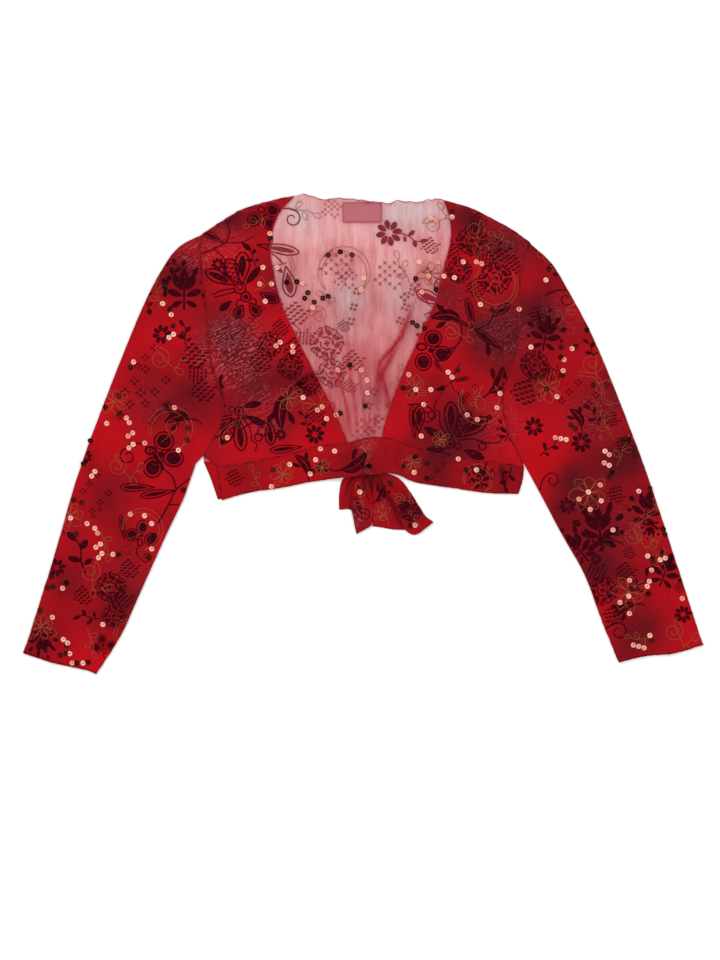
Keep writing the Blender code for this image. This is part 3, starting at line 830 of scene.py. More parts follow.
def rosette(d):
    """A counted rosette: a heart, a ring, and eight petals with split ends."""
    def shows(i, j):
        reach = eight_sided(i, j)
        diagonal = abs(i) == abs(j)
        axis = min(abs(i), abs(j)) == 0
        if reach <= 1.0:
            return True
        if 2.4 <= reach < 3.4:
            return (i + j) % 3 != 0 or axis
        if 4.2 <= reach < 7.3:
            return not (diagonal or axis) and (reach < 6.4 or (i + j) % 2 == 0)
        return 7.3 <= reach < 8.3 and (min(abs(i), abs(j)) in (1, 2, 5))
    d.counted(shows, 9)


def rosette_edge(d):
    """The counted leaf that fills between rosettes, in slanting rows."""
    d.counted(lambda i, j: abs(i) + abs(j) <= 7 and abs(j) <= 5 and (i - 2 * j) % 5 in (0, 1)
              and not (i > 2 and j > 1), 7)


def cross_net(d):
    """Small thin crosses at the corners of diamonds, some left out."""
    pitch = 5.6
    for i in range(-3, 4):
        for j in range(-3, 4):
            if (i + j) % 2 == 0 and abs(i) + abs(j) <= 4 and rng.random() < 0.86:
                d.cross((pitch * i, 0.86 * pitch * j), 5.2, 0.62)


def cross_group(d):
    """Three small diamonds of four crosses each, set apart."""
    for x, y in ((0, 0), (14, 15), (-12, -14)):
        for k in range(4):
            d.cross(around((x, y), 4.1, 0.5 * math.pi * k, 3.6 / 4.1), 4.6, 0.85)


def curl(d):
    d.stroke([(-27, 5), (-12, 11)] + spiral((0, 0), 11.5, 3.0, -1.2, 1.75), 1.8, taper=0.3)


def drawn(kind):
    drawing = Drawing()
    kind(drawing)
    return drawing


FLOCK_KINDS = {kind.__name__: drawn(kind) for kind in (
    lotus, small_lotus, orchid, long_leaf, branch, daisy, sprig, tulip, drop, wavy_leaf, rosette,
    rosette_edge, cross_net, curl, cross_group)}


# Gold thread motifs: lines to stitch, about the origin

def gold_flower():
    """Loops like petals, uneven, some stitched twice round."""
    lines = []
    turn = rng.uniform(0, 50)
    for k in range(7):
        angle = turn + 51 * k + rng.uniform(-9, 9)
        far = rng.uniform(13.5, 19.5)
        for reach, width in ((far, rng.uniform(7, 10)), (0.7 * far, 5.0))[:2 - k % 2]:
            tip = polar(reach, angle + 5)
            side = polar(width / 2, angle + 90)
            out = polar(0.66 * reach, angle)
            lines.append([(0, 0), (out[0] + side[0], out[1] + side[1]), tip,
                          (out[0] - side[0], out[1] - side[1]), (0, 0)])
    return lines


def gold_crescent():
    """Two arcs that part and meet again at their tips, with a drop inside."""
    outer, inner = [], []
    thick = rng.uniform(4.5, 6.5)
    for k in range(11):
        angle = -64 + 27 * k
        outer.append(polar(25, angle))
        inner.append(polar(25 - thick * math.sin(math.pi * k / 10) ** 0.6, angle))
    drop_loop = [(-2, -8), (6, -2), (5, 7), (-3, 8), (-5, 0), (-2, -8), (-12, -17)]
    return [outer, inner, drop_loop]


def gold_swirl():
    """A spiral that runs out into a stem with two leaf loops."""
    tail = [(0, -15), (14, -18), (25, -12), (34, -16)]
    loop = [(25, -12), (32, -2), (38, -4), (34, -12), (25, -12)]
    low = [(14, -18), (16, -28), (23, -30), (22, -22), (14, -18)]
    return [spiral((0, 0), 3.0, 15.0, 1.75, math.pi) + tail[1:], loop, low]


def gold_sprig():
    """A short stem with three loops."""
    lines = [[(0, -18), (2, -6), (0, 6), (3, 16)]]
    for x, y, angle in ((1, -8, 150), (1, 2, 30), (3, 14, 80)):
        tip = polar(13, angle, (x, y))
        a, b = polar(8, angle + 24, (x, y)), polar(8, angle - 24, (x, y))
        lines.append([(x, y), a, tip, b, (x, y)])
    return lines


def gold_wave():
    """A long double line in a loose S."""
    return [[(-34, -10), (-16, 6), (4, 4), (22, -6), (38, 6)],
            [(-30, -14), (-14, 1), (4, -1), (22, -11), (36, 0)]]


GOLD_KINDS = {kind.__name__: kind for kind in (
    gold_flower, gold_crescent, gold_swirl, gold_sprig, gold_wave)}

# Where the motifs lie, in millimetres in plan, with their turn in degrees and their scale
Motif = namedtuple("Motif", "kind x y turn size", defaults=(0, 1.0))


def laid(**kinds):
    return [Motif(kind, *place) for kind, places in kinds.items() for place in places]


MOTIFS = {
    "right_front": laid(
        lotus=[(-156, 184, 6)], orchid=[(-124, 276, -40, 0.85)],
        long_leaf=[(-108, 234, -100, 1.05), (-98, -20, 97, 0.8)], drop=[(-94, 192)],
        branch=[(-176, 240, -20, 0.75)],
        daisy=[(-184, 214, 0, 0.7), (-61, -2), (-104, -2, 20, 0.6)],
        small_lotus=[(-160, 26, 178, 0.95)],
        rosette=[(-118, 112, 12, 0.8), (-92, 84, 12, 0.8), (-66, 62, 12, 0.7)],
        rosette_edge=[(-130, 90, 12), (-104, 134, 12, 0.8), (-74, 58, 12, 0.9),
            (-188, 24, 10, 0.8), (-86, 108, 12), (-60, 24, 12, 0.8)],
        wavy_leaf=[(-100, 26, 168, 1.3), (-188, 60, 20, 0.9)], curl=[(-128, 4, 10)],
        sprig=[(-142, 222, 30, 0.8), (-74, 14, 30, 0.7)], cross_group=[(-140, 146, 0, 0.8)],
        gold_sprig=[(-122, 190, -60), (-132, 268, 120, 0.8)], gold_swirl=[(-70, 34, 60, 0.7)],
        gold_wave=[(-170, 6, 52, 0.8)], gold_flower=[(-95, 44, 10, 1.05)],
    ),
    "left_front": laid(
        rosette=[(138, 244, 8, 0.95), (168, 196, 8), (122, 206, 8, 0.8)],
        rosette_edge=[(172, 232, 8, 1.1), (146, 268, 8, 0.8), (112, 232, 8, 0.9),
            (144, 184, 8, 0.9), (192, 214, 8, 0.9), (156, 220, 60, 0.8), (62, 54, 8, 0.6)],
        wavy_leaf=[(104, 145, 82, 1.1), (170, 68, -30, 1.1)],
        branch=[(140, 132, -68, 0.85), (112, 66, 200, 0.5)],
        long_leaf=[(160, 118, 52, 0.8), (64, 14, 4, 0.8), (96, -24, 74, 0.6)],
        orchid=[(86, 106, 0, 1.05)], sprig=[(182, 56, -60)], small_lotus=[(114, -12, -6)],
        curl=[(80, 22, -20)], cross_group=[(132, 48, 0, 0.7)], tulip=[(186, 4, -20, 0.7)],
        gold_swirl=[(112, 128, 30, 0.8), (142, 258, -30, 0.9)],
        gold_sprig=[(178, 244, 70, 0.8), (142, 40, 10, 0.7)],
        gold_crescent=[(149, 39, 205, 1.12), (168, 186, 200, 1.15)],
        gold_flower=[(66, 58, 0, 0.95), (98, -8, 20, 0.7)],
    ),
    "front_band": laid(
        rosette_edge=[(-163, -57, 0, 0.8)], wavy_leaf=[(-10, -36, -58, 1.1), (-78, -40, 30, 0.9)],
        tulip=[(149, -56, 8, 0.7)], sprig=[(186, -58, 170, 0.9)], cross_group=[(94, -48, 0, 0.6)],
        daisy=[(-52, -44, 0, 0.7)], long_leaf=[(178, -56, 10, 0.6)],
        gold_sprig=[(-136, -60, 30, 0.8)], gold_wave=[(6, -38, 96, 0.6)],
        gold_flower=[(62, -38, 0, 0.8), (-102, -52, 0, 0.9)], gold_crescent=[(146, -58, 0, 0.75)],
    ) + laid(
        gold_flower=[(-52, -44, 40, 0.65)],
    ),
    "right_sleeve": laid(
        tulip=[(-227, 182, 0, 1.15), (-408, -262, 200, 0.8)],
        sprig=[(-236, 210, 80, 0.8), (-228, 124, 14, 0.9), (-362, -156, 24, 1.5),
            (-348, -236, 90, 0.9), (-276, 168, 20, 0.8)],
        daisy=[(-255, 125), (-389, -171, 0, 0.95), (-352, -30, 0, 0.7)],
        rosette_edge=[(-214, 98, 14, 1.2), (-210, 76, 60, 0.9), (-202, 54, 14, 1.1),
            (-296, -172, 14, 0.9), (-354, -206, 14, 0.9), (-304, -210, 14, 0.9)],
        cross_group=[(-290, 66), (-296, 36), (-264, 52), (-276, 96, 0, 0.8), (-258, 24, 0, 0.8),
            (-347, -64, 0, 0.7), (-334, -88, 0, 0.8), (-342, -106, 0, 0.6)],
        wavy_leaf=[(-236, 16, 96), (-388, -118, 170, 0.9)],
        orchid=[(-256, -26, 0, 1.2), (-282, -130, 100, 0.8), (-330, -270, 120, 0.6)],
        branch=[(-238, -74, 18, 0.95)], long_leaf=[(-286, -69, 90, 0.85), (-305, -120, 8, 0.6)],
        rosette=[(-320, -196, 14, 0.95), (-316, -232, 14, 0.75)],
        gold_sprig=[(-262, 176, 10), (-344, -262, 200, 0.9), (-326, -140, 200, 0.9),
            (-352, 6, 30, 0.8)],
        gold_swirl=[(-258, 94, 20, 0.95), (-312, -42, 10, 0.9), (-346, -176, -30, 0.9)],
        gold_wave=[(-300, -240, 30, 0.7)], gold_flower=[(-316, 40, 0, 1.1)],
        gold_crescent=[(-244, 6, 0, 1.12), (-280, -122, -20, 1.05)],
    ) + laid(
        gold_flower=[(-372, -104, 0, 1.15), (-408, -246, 0, 1.1)],
    ),
    "left_sleeve": laid(
        tulip=[(232, 126, -10), (360, -96, -12), (300, -122, 8, 1.3), (272, -146, 40),
            (384, -174, -20), (366, -120, 160, 0.5)],
        rosette=[(218, 86, -10, 0.9), (304, -200, -14, 0.9)],
        rosette_edge=[(206, 52, -10, 1.2), (240, 76, 50, 0.8), (316, 18, -14, 0.7),
            (332, -14, -14, 0.8), (322, -78, -14, 0.8), (338, -152, -14, 0.6),
            (318, -232, -14, 0.9), (296, -176, 40, 0.9), (334, -176, 10, 0.9),
            (222, 150, -10, 0.8), (402, -196, -14, 0.5)],
        curl=[(258, 170), (324, -252, 40, 1.1), (240, -60, 60, 0.9)],
        daisy=[(217, 8), (277, -12, 0, 1.05), (259, -92, 0, 0.85), (406, -230, 0, 0.9),
            (296, -160, 0, 0.6)],
        sprig=[(234, -18, -40, 0.9), (292, 20, 40, 0.9), (350, -190, -30), (288, 104, 30, 0.8),
            (246, 204, 40, 0.8)],
        wavy_leaf=[(270, 20, 30, 0.8), (330, -226, 120, 0.9), (305, -140, 100, 0.8)],
        cross_group=[(296, 48, 0, 0.8), (262, 52, 0, 0.8)],
        gold_sprig=[(256, 152, -30), (306, 12, 30), (328, -24, -20), (376, -160, 30),
            (238, 214, 60, 0.8), (352, -262, 90, 0.8)],
        gold_swirl=[(290, 88, -20, 1.05), (342, -130, 10, 0.95), (394, -252, 0, 0.9)],
        gold_wave=[(300, 60, -50, 0.9), (356, -110, 60, 0.8)],
        gold_flower=[(234, 58, 0, 1.1), (286, -76, 0, 1.45), (337, -202, 0, 1.4)],
    ),
    "tie_tail_right": laid(
        long_leaf=[(-6, -92, 20, 0.5)], gold_sprig=[(-4, -84, 20, 0.8)], curl=[(2, -104, 0, 0.7)],
    ),
    "tie_tail_left": laid(
        rosette_edge=[(62, -104, 20, 0.7)], daisy=[(52, -92, 0, 0.6)],
        wavy_leaf=[(22, -76, -30, 0.7)], rosette=[(60, -98, 30, 0.7)],
        gold_swirl=[(46, -84, 40, 0.5)], gold_sprig=[(28, -104, 20, 0.8), (66, -112, 40, 0.6)],
    ),
}
BACK_MOTIFS = laid(
    daisy=[(33, 254, 0, 1.35)], sprig=[(62, 250, -105, 0.95)],
    cross_net=[(-40, 284, 0, 0.7), (-34, 214, 0, 1.15), (-22, 196, 0, 0.8), (34, 200, 0, 1.1),
        (4, 2)], curl=[(-90, 272, -12)], long_leaf=[(-108, 234, -100, 1.05)], drop=[(-94, 192)],
    branch=[(-128, 214, -30, 0.6), (96, 150, 200, 0.5)],
    cross_group=[(66, 188, 0, 1.1), (-12, 160, 30), (54, 160, 20), (14, 52, 20),
        (20, 18, 0, 1.1)], rosette=[(-46, 114, 12, 1.05), (-40, 76, 12, 0.9)],
    rosette_edge=[(-84, 152, 12, 1.1), (-76, 122, 60, 0.8), (-12, 92, 12), (-16, 60, 12, 0.7),
        (-24, 136, 12, 0.6), (86, 238, 8, 0.8)],
    gold_sprig=[(50, 206, 30), (-78, 284, -100), (44, 64, 0, 0.9)],
    gold_swirl=[(88, 264, 80, 0.8), (-56, 150, 100, 0.8)], gold_wave=[(-92, 214, -60, 0.9)],
    gold_crescent=[(-24, 204, 20, 1.32)], gold_flower=[(86, 202)],
)

# Sequins: the first of a short row, how many, and the way the row runs in degrees
Row = namedtuple("Row", "x y count turn", defaults=(1, 0))
ROW_PITCH = 7.0

LIGHT_SEQUINS = [Row(*row) for row in (
    (-127, 210), (-109, 210), (-131, 189), (-116, 189), (-124, 167), (-104, 171), (-118, 253),
    (-105, 115, 2, -140), (-89, 110, 2, -90), (-76, 45), (-52, 33, 2, -145), (-46, 18), (-34, 23),
    (-172, -6), (-54, -20), (-36, -23), (-93, -40), (-67, -52), (-116, -68), (-60, -34),
    (86, 273, 2, -20), (113, 274), (71, 217), (95, 217), (83, 199), (103, 199), (116, 197),
    (75, 179), (127, 217), (144, 217, 2, -20), (149, 163), (108, 77), (113, 71), (58, 74),
    (67, 55), (86, 55), (77, 36), (132, 23), (145, 17), (174, 50), (170, 32), (74, -4),
    (144, -47), (65, -50), (-64, 159), (-32, 80), (-2, 80), (5, 67), (6, 51), (1, 197), (-2, 182),
    (-77, 190), (-254, 164), (-243, 150), (-246, 121, 2, 35), (-291, 90), (-239, 32),
    (-300, 19, 2, -60), (-325, 12), (-298, -4, 2, 35), (-297, -19, 2, 40), (-277, -13),
    (-234, -22), (-340, -49, 2, -125), (-295, -103), (-277, -105), (-268, -115), (-268, -147),
    (-371, -108), (-350, -115), (-340, -121, 2, -60), (-333, -141, 2, -145),
    (-331, -153, 2, -130), (-317, -154), (-381, -197), (-394, -234), (-330, -243),
    (-380, -262, 2, -40), (-372, -280), (-369, -292), (-355, -292), (232, 194), (198, 157),
    (213, 109), (265, 107), (255, 93), (254, 79), (246, 46), (244, -6, 3, -10),
    (307, -23, 2, -40), (306, -38, 2, -25), (301, -66), (286, -75), (274, -84), (302, -86),
    (288, -97), (350, -74), (317, -123), (361, -156), (377, -161, 2, 20), (366, -174),
    (363, -188, 2, -110), (338, -187), (337, -207), (326, -215), (338, -229), (405, -210),
    (364, -257), (343, -269, 3, -15), (121, -33),
)]
DARK_SEQUINS = [Row(*row) for row in (
    (-97, 191), (-84, 192), (-70, 178), (-74, 171), (-62, 166), (-51, 171, 2, 20), (-118, 247),
    (-44, 226), (-29, 230), (-14, 226), (67, 196), (93, 182), (63, 140, 2, -35), (78, 133),
    (113, 281), (-29, 25), (-50, 12), (-64, -49), (-114, -47), (-17, 86), (3, 34), (-81, 63),
    (51, 57), (101, 57), (120, 80), (160, 20), (51, -42), (66, -30), (81, -38), (81, -58),
    (131, -47), (8, -42), (1, -28), (164, 156), (181, 158), (134, 236), (130, 210), (-158, 12),
    (-178, -12), (-150, 20), (-245, 157), (-271, 154), (-241, 136), (-228, 126), (-310, 47),
    (-327, 33), (-309, 25), (-227, 23), (-222, 6), (-223, -9), (-295, 83), (-250, 34),
    (-252, 186), (-246, 196), (-250, 180), (-265, -130), (-357, -88), (-372, -84), (-364, -128),
    (-310, -154), (-376, -190), (-400, -196, 2, 10), (-414, -220), (-376, -270), (-363, -292),
    (-349, -291), (-384, -282, 2, 20), (-272, -158), (-238, 248), (-232, 242), (236, 208),
    (251, 109), (251, 96), (253, 73), (218, 70), (233, 56), (227, 71), (264, 10, 2, -40),
    (305, -140, 2, -10), (270, 110), (292, 61), (312, -56), (316, -50), (368, -163), (322, -128),
    (312, -206), (340, -198), (362, -204), (366, -263), (330, -10, 2, 10), (-6, -70), (60, -118),
    (34, -64), (20, -121), (284, 131), (309, 86), (343, -22, 2, -75), (364, -70),
    (381, -122, 2, -72), (391, -160), (-355, -39), (-346, -10), (-367, -85), (-395, -182),
    (-410, -225), (-228, -72),
)]
TAIL_LIGHT_SEQUINS = [Row(-4, -75), Row(66, -117)]


# Shader nodes

class Nodes:
    """Adds nodes to one tree, with each input linked or given its own value."""

    def __init__(self, tree):
        self.tree = tree

    def feed(self, socket, value):
        if isinstance(value, bpy.types.NodeSocket):
            self.tree.links.new(value, socket)
        else:
            socket.default_value = value

    def add(self, kind, inputs, **settings):
        node = self.tree.nodes.new("ShaderNode" + kind)
        for name, value in settings.items():
            setattr(node, name, value)
        for name, value in inputs.items():
            self.feed(node.inputs[name], value)
        return node

    def math(self, operation, first, second, clamp=False):
        inputs = {0: first, 1: second}
        return self.add("Math", inputs, operation=operation, use_clamp=clamp).outputs[0]

    def times(self, first, second):
        return self.math("MULTIPLY", first, second)

    def plus(self, first, second, clamp=False):
        return self.math("ADD", first, second, clamp)

    def mixed(self, factor, first, second):
        """A colour between two, each a socket or a plain colour."""
        node = self.add("Mix", {"Factor": factor}, data_type="RGBA")
        for name, value in (("A", first), ("B", second)):
            self.feed(node.inputs[name], (*value, 1.0) if isinstance(value, tuple) else value)
        return node.outputs["Result"]

    def ramp(self, value, low, high):
        inputs = {"Value": value, "From Min": low, "From Max": high}
        return self.add("MapRange", inputs, interpolation_type="SMOOTHSTEP").outputs["Result"]

    def place(self):
        return self.add("TexCoord", {}).outputs["Object"]

    def turned(self, turn, scale):
        """Object coordinates turned about Z, in radians, then scaled along each axis."""
        turned = self.add("VectorRotate", {"Vector": self.place(), "Angle": turn},
                          rotation_type="Z_AXIS").outputs[0]
        return self.add("VectorMath", {0: turned, 1: scale}, operation="MULTIPLY").outputs[0]

    def noise(self, vector, scale, detail, roughness=0.5, output="Fac"):
        inputs = {"Vector": vector, "Scale": scale, "Detail": detail, "Roughness": roughness}
        return self.add("TexNoise", inputs).outputs[output]

    def painted(self, name):
        """A value kept at the points of the mesh."""
        return self.add("Attribute", {}, attribute_name=name).outputs["Fac"]

    def group(self, tree, **inputs):
        return self.add("Group", inputs, node_tree=tree).outputs

    def bump(self, shader, height, strength, distance):
        inputs = {"Height": height, "Strength": strength, "Distance": distance}
        self.feed(shader["Normal"], self.add("Bump", inputs).outputs["Normal"])


def new_group(name, defaults, results):
    """A shader node group, with its inputs' defaults and the names of its outputs."""
    tree = bpy.data.node_groups.new(name, "ShaderNodeTree")
    kind = "NodeSocketFloat"
    for socket, value in defaults.items():
        made = tree.interface.new_socket(socket, in_out="INPUT", socket_type=kind)
        made.default_value = value
    for socket in results:
        tree.interface.new_socket(socket, in_out="OUTPUT", socket_type=kind)
    source, out = tree.nodes.new("NodeGroupInput"), tree.nodes.new("NodeGroupOutput")
    return Nodes(tree), source.outputs, out.inputs


def knit_group():
    """Fine ribs of a stretch mesh with an uneven yarn."""
    n, source, out = new_group("knit mesh", {"Turn": 0.0}, ("Mask", "Height"))
    place = n.turned(source["Turn"], (1.0, 1.0, 1.0))
    ribs = n.add("TexWave", {"Vector": place, "Scale": 300.0, "Distortion": 2.6, "Detail": 2.0,
                             "Detail Scale": 0.6}, bands_direction="X").outputs["Fac"]
    streaks = n.noise(n.turned(source["Turn"], (1.0, 0.10, 1.0)), 420.0, 3.0, 0.6)
    yarn = n.noise(place, 1500.0, 2.0, 0.6)
    both = n.plus(n.times(ribs, 0.4), n.times(streaks, 0.8))
    n.feed(out["Height"], n.plus(both, n.times(yarn, 0.4)))
    n.feed(out["Mask"], n.ramp(both, 0.35, 0.85))
    return n.tree


def dye_group():
    """Soft blotches of two dyes, as a tie-dyed print has."""
    n, source, out = new_group("dye blotches", {"Scale": 11.0, "Low": 0.42, "High": 0.66},
                               ("Mask",))
    broad = n.noise(n.place(), source["Scale"], 2.5, 0.45)
    n.feed(out["Mask"], n.ramp(broad, source["Low"], source["High"]))
    return n.tree


def crushed_glints_group():
    """Short pale glints of crushed mesh, painted as highlights, in rows that bend."""
    n, source, out = new_group("crushed glints", {"Turn": 0.6, "Region": 0.0},
                               ("Mask", "Height"))
    straight = n.turned(source["Turn"], (0.42, 1.0, 1.0))
    wander = n.noise(straight, 46.0, 2.0, output="Color")
    bent = n.add("VectorMath", {0: wander, 1: (0.0, 0.030, 0.0), 2: straight},
                 operation="MULTIPLY_ADD").outputs[0]
    fine = n.noise(bent, 640.0, 2.0, 0.55)
    rows = n.add("TexWave", {"Vector": bent, "Scale": 95.0, "Distortion": 16.0,
                             "Detail Scale": 0.25}, bands_direction="Y").outputs["Fac"]
    lines = n.ramp(n.plus(fine, n.times(rows, 0.2)), 0.62, 0.74)
    n.feed(out["Mask"], n.times(lines, source["Region"]))
    n.feed(out["Height"], fine)
    return n.tree


KNIT = knit_group()
DYE = dye_group()
GLINTS = crushed_glints_group()


# Materials

BRIGHT_RED = (0.55, 0.003, 0.009)
BAND_RED = (0.46, 0.003, 0.008)
DEEP_MAROON = (0.085, 0.004, 0.009)
# PALE_GLINT is a painted highlight: the colour of the glints on the crushed mesh.
PALE_GLINT = (0.50, 0.12, 0.14)
PALE_ROSE = (0.86, 0.035, 0.050)
WARM_ROSE = (0.52, 0.014, 0.030)
GREY_ROSE = (0.30, 0.035, 0.060)

# How strongly each thing shows in the colour of the outer face
FINE_DYE = 0.35
PAINTED_DYE = 0.85
RIB_SHADE = 0.25
GLINT_SHINE = 0.62
# The same on the inner face
LOW_DOWN = 0.72
INNER_BLOTCHES = 0.24
GATHERS = 0.6
STREAKS = 0.22
INNER_RIBS = 0.35
INNER_FOLDS = 0.75


def new_material(name, roughness, **sockets):
    """A material with its nodes and the inputs of its shader."""
    material = bpy.data.materials.new(name)
    material.use_nodes = True
    shader = material.node_tree.nodes["Principled BSDF"].inputs
    shader["Roughness"].default_value = roughness
    for socket, value in sockets.items():
        shader[socket.replace("_", " ")].default_value = value
    return material, Nodes(material.node_tree), shader


def darker(colour, share):
    return tuple(share * c for c in colour)


def cloth_material(name, bright=BRIGHT_RED, turn=0.0, dye=(11.0, 0.42, 0.66),
                   opacity=(0.90, 0.97), crease=(0.55, 0.42)):
    """Sheer printed mesh: dye spots, ribs, painted glint highlights and painted shade along
    creases, partly see-through.
    """
    material, n, shader = new_material(name, 0.62, Specular_IOR_Level=0.05)
    fine_dye = n.group(DYE, Scale=dye[0], Low=dye[1], High=dye[2])["Mask"]
    blotch = n.plus(n.times(fine_dye, FINE_DYE), n.times(n.painted("dye"), PAINTED_DYE),
                    clamp=True)
    knit = n.group(KNIT, Turn=turn)
    glints = n.group(GLINTS, Turn=turn - 0.6, Region=n.painted("painted_glint"))
    dyed = n.mixed(blotch, bright, DEEP_MAROON)
    shaded = n.mixed(n.times(knit["Mask"], RIB_SHADE), dyed, darker(bright, 0.55))
    # Painted highlight: pale glints where the mesh is crushed.
    crushed = n.mixed(n.times(glints["Mask"], GLINT_SHINE), shaded, PALE_GLINT)
    # Painted shade along the creases and the sleeves' folded edges.
    crease_shaded = n.mixed(n.times(n.painted("shaded_crease"), crease[0]), crushed, darker(bright, crease[1]))
    n.feed(shader["Base Color"], crease_shaded)
    n.feed(shader["Alpha"], n.plus(n.times(knit["Mask"], opacity[1] - opacity[0]), opacity[0]))
    n.bump(shader, n.plus(knit["Height"], n.times(glints["Height"], 0.8)), 0.45, 0.0004)
    return material


def inner_side_material(name, pale, warm, opacity=(0.29, 0.70)):
    """The unprinted inner face of the mesh: paler above, denser towards the hem."""
    material, n, shader = new_material(name, 0.62, Specular_IOR_Level=0.05)
    place = n.add("SeparateXYZ", {0: n.place()}).outputs
    low_down = n.ramp(n.times(place["Y"], -1.0), -0.30, 0.0)
    knit = n.group(KNIT, Turn=0.0)
    blotch = n.group(DYE, Scale=17.0, Low=0.40, High=0.64)["Mask"]
    streak = n.noise(n.turned(0.0, (1.0, 0.14, 1.0)), 120.0, 3.0, 0.6)
    streaked = n.times(n.ramp(streak, 0.38, 0.66), STREAKS)
    dyed = n.plus(n.times(low_down, LOW_DOWN), n.times(blotch, INNER_BLOTCHES))
    # Along the creases the cloth is denser and darker: partly the doubled cloth, partly painted
    # shade.
    gathered = n.plus(n.times(n.painted("shaded_crease"), GATHERS), streaked)
    depth = n.plus(dyed, gathered, clamp=True)
    greyed = n.times(n.painted("dye"), PAINTED_DYE)
    colour = n.mixed(greyed, n.mixed(depth, pale, warm), GREY_ROSE)
    ribbed = n.mixed(n.times(knit["Mask"], INNER_RIBS), colour, darker(warm, 0.62))
    # Painted shade along the folds, which also makes the cloth less see-through there.
    folded = n.times(n.painted("shaded_crease"), INNER_FOLDS)
    n.feed(shader["Base Color"], n.mixed(folded, ribbed, darker(warm, 0.55)))
    alpha = n.plus(n.times(depth, opacity[1] - opacity[0]), opacity[0])
    thinned = n.math("SUBTRACT", alpha, n.times(greyed, 0.10))
    ribbed_alpha = n.plus(thinned, n.times(knit["Mask"], 0.10))
    n.feed(shader["Alpha"], n.plus(ribbed_alpha, n.times(folded, 0.4), clamp=True))
    n.bump(shader, knit["Height"], 0.5, 0.0005)
    return material


def patchy_material(name, colours, roughness, patches, limits, grain, bump, **sockets):
    """Two colours in soft patches over a fine grain, each from a noise."""
    material, n, shader = new_material(name, roughness, **sockets)
    tone = n.ramp(n.noise(n.place(), *patches), *limits)
    n.feed(shader["Base Color"], n.mixed(tone, *colours))
    n.bump(shader, n.noise(n.place(), *grain), *bump)
    return material


def soaked_material(name, dark, light):
    """The flocked print where its dye has come through the sheer mesh."""
    material, n, shader = new_material(name, 0.8, Specular_IOR_Level=0.05, Alpha=0.36)
    n.feed(shader["Base Color"], n.mixed(n.group(KNIT, Turn=0.0)["Mask"], dark, light))
    return material


def thread_material(name, colour, shadow, metallic=0.0, patch=1400.0):
    return patchy_material(name, (colour, shadow), 0.6, (patch, 2.0), (0.4, 0.7), (1400.0, 2.0),
                           (0.4, 0.0002), Metallic=metallic, Specular_IOR_Level=0.15)


def sequin_material(name, colour, other, roughness, metallic, specular):
    return patchy_material(name, (colour, other), roughness, (75.0, 1.0), (0.38, 0.62),
                           (1800.0, 2.0), (0.15, 0.0002), Metallic=metallic,
                           Specular_IOR_Level=specular)


def satin_material(name, colour, deep):
    material, n, shader = new_material(name, 0.36, Sheen_Weight=0.3)
    weave = n.group(KNIT, Turn=math.pi / 2)
    n.feed(shader["Base Color"], n.mixed(n.times(weave["Mask"], 0.6), colour, deep))
    n.bump(shader, weave["Height"], 0.4, 0.0003)
    return material


front_outer = cloth_material("printed mesh, fronts", dye=(12.0, 0.40, 0.62),
                             opacity=(0.94, 0.99))
sleeve_outer = cloth_material("printed mesh, sleeves", turn=0.35, dye=(10.0, 0.43, 0.66),
                              opacity=(0.93, 0.98), crease=(0.8, 0.22))
band_outer = cloth_material("printed mesh, bands", BAND_RED, turn=1.57, dye=(14.0, 0.44, 0.68),
                            opacity=(0.94, 0.99), crease=(0.95, 0.16))
back_outer = cloth_material("printed mesh, back", opacity=(0.08, 0.16))
back_inner = inner_side_material("inner face of the back", PALE_ROSE, WARM_ROSE)
inner_face = inner_side_material("inner face of fronts and sleeves", (0.50, 0.05, 0.06),
                                 (0.36, 0.02, 0.03), (0.6, 0.75))
flock = patchy_material("flocked print", ((0.042, 0.0012, 0.0045), (0.092, 0.005, 0.012)), 0.95,
                        (260.0, 3.0, 0.6), (0.45, 0.75), (2200.0, 2.0, 0.6), (0.5, 0.0003),
                        Specular_IOR_Level=0.02)
soaked = soaked_material("print come through", (0.28, 0.028, 0.050), (0.40, 0.055, 0.075))
gold = thread_material("gold thread", (0.50, 0.135, 0.060), (0.30, 0.065, 0.030), 0.1)
seam_red = thread_material("red overlock thread", (0.30, 0.005, 0.011), (0.05, 0.002, 0.004),
                           patch=90.0)
pale_edge = thread_material("rolled pale edge", (0.46, 0.04, 0.07), (0.30, 0.02, 0.04))
light_sequin = sequin_material("champagne sequin", (0.96, 0.47, 0.36), (0.80, 0.27, 0.20),
                               0.36, 0.3, 0.4)
# Painted reflection: the dark sequins' near-black colour stands for sequins tipped so that they
# reflect little light.
dark_sequin = sequin_material("sequin with painted dark reflection", (0.052, 0.010, 0.005), (0.010, 0.003, 0.002),
                              0.42, 0.25, 0.03)
label_satin = satin_material("rose satin", (0.52, 0.125, 0.16), (0.38, 0.08, 0.11))


# Cloth panels

def front_panel(name, side, band_top):
    edge = joined(sample(side.armhole, ARMHOLE_ROWS),
                  sample(side.side_seam, FRONT_ROWS - ARMHOLE_ROWS))
    shoulder = [side.neckline[0]] + side.shoulder[1:]
    bottom = sample(band_top, FRONT_CELLS)[::-1 if side is RIGHT else 1]
    net = patch(sample(shoulder, FRONT_CELLS), bottom, sample(side.neckline, FRONT_ROWS), edge)
    u, v = parameters(net)
    off_armhole = soft_step((1 - u) / FRONT_FADE)
    off_edges = (soft_step(v / FRONT_FADE) * soft_step((1 - v) / FRONT_FADE)
                 * soft_step(u / NECK_FADE))
    height = (LAID + (RAISED - LAID) * off_edges
              + (fold_height(FRONT_FOLDS, net) * off_armhole
                 + crinkle_height(FRONT_CRINKLES, net)) * off_edges
              + fold_height(FELT_FOLDS, net) + knot_rise(net)
              + rumple(net, seed=1.5) * soft_step(u / 0.06))
    return Panel(name, with_height(net, height), [front_outer, inner_face],
                 FRONT_FOLDS, flip=side is RIGHT)


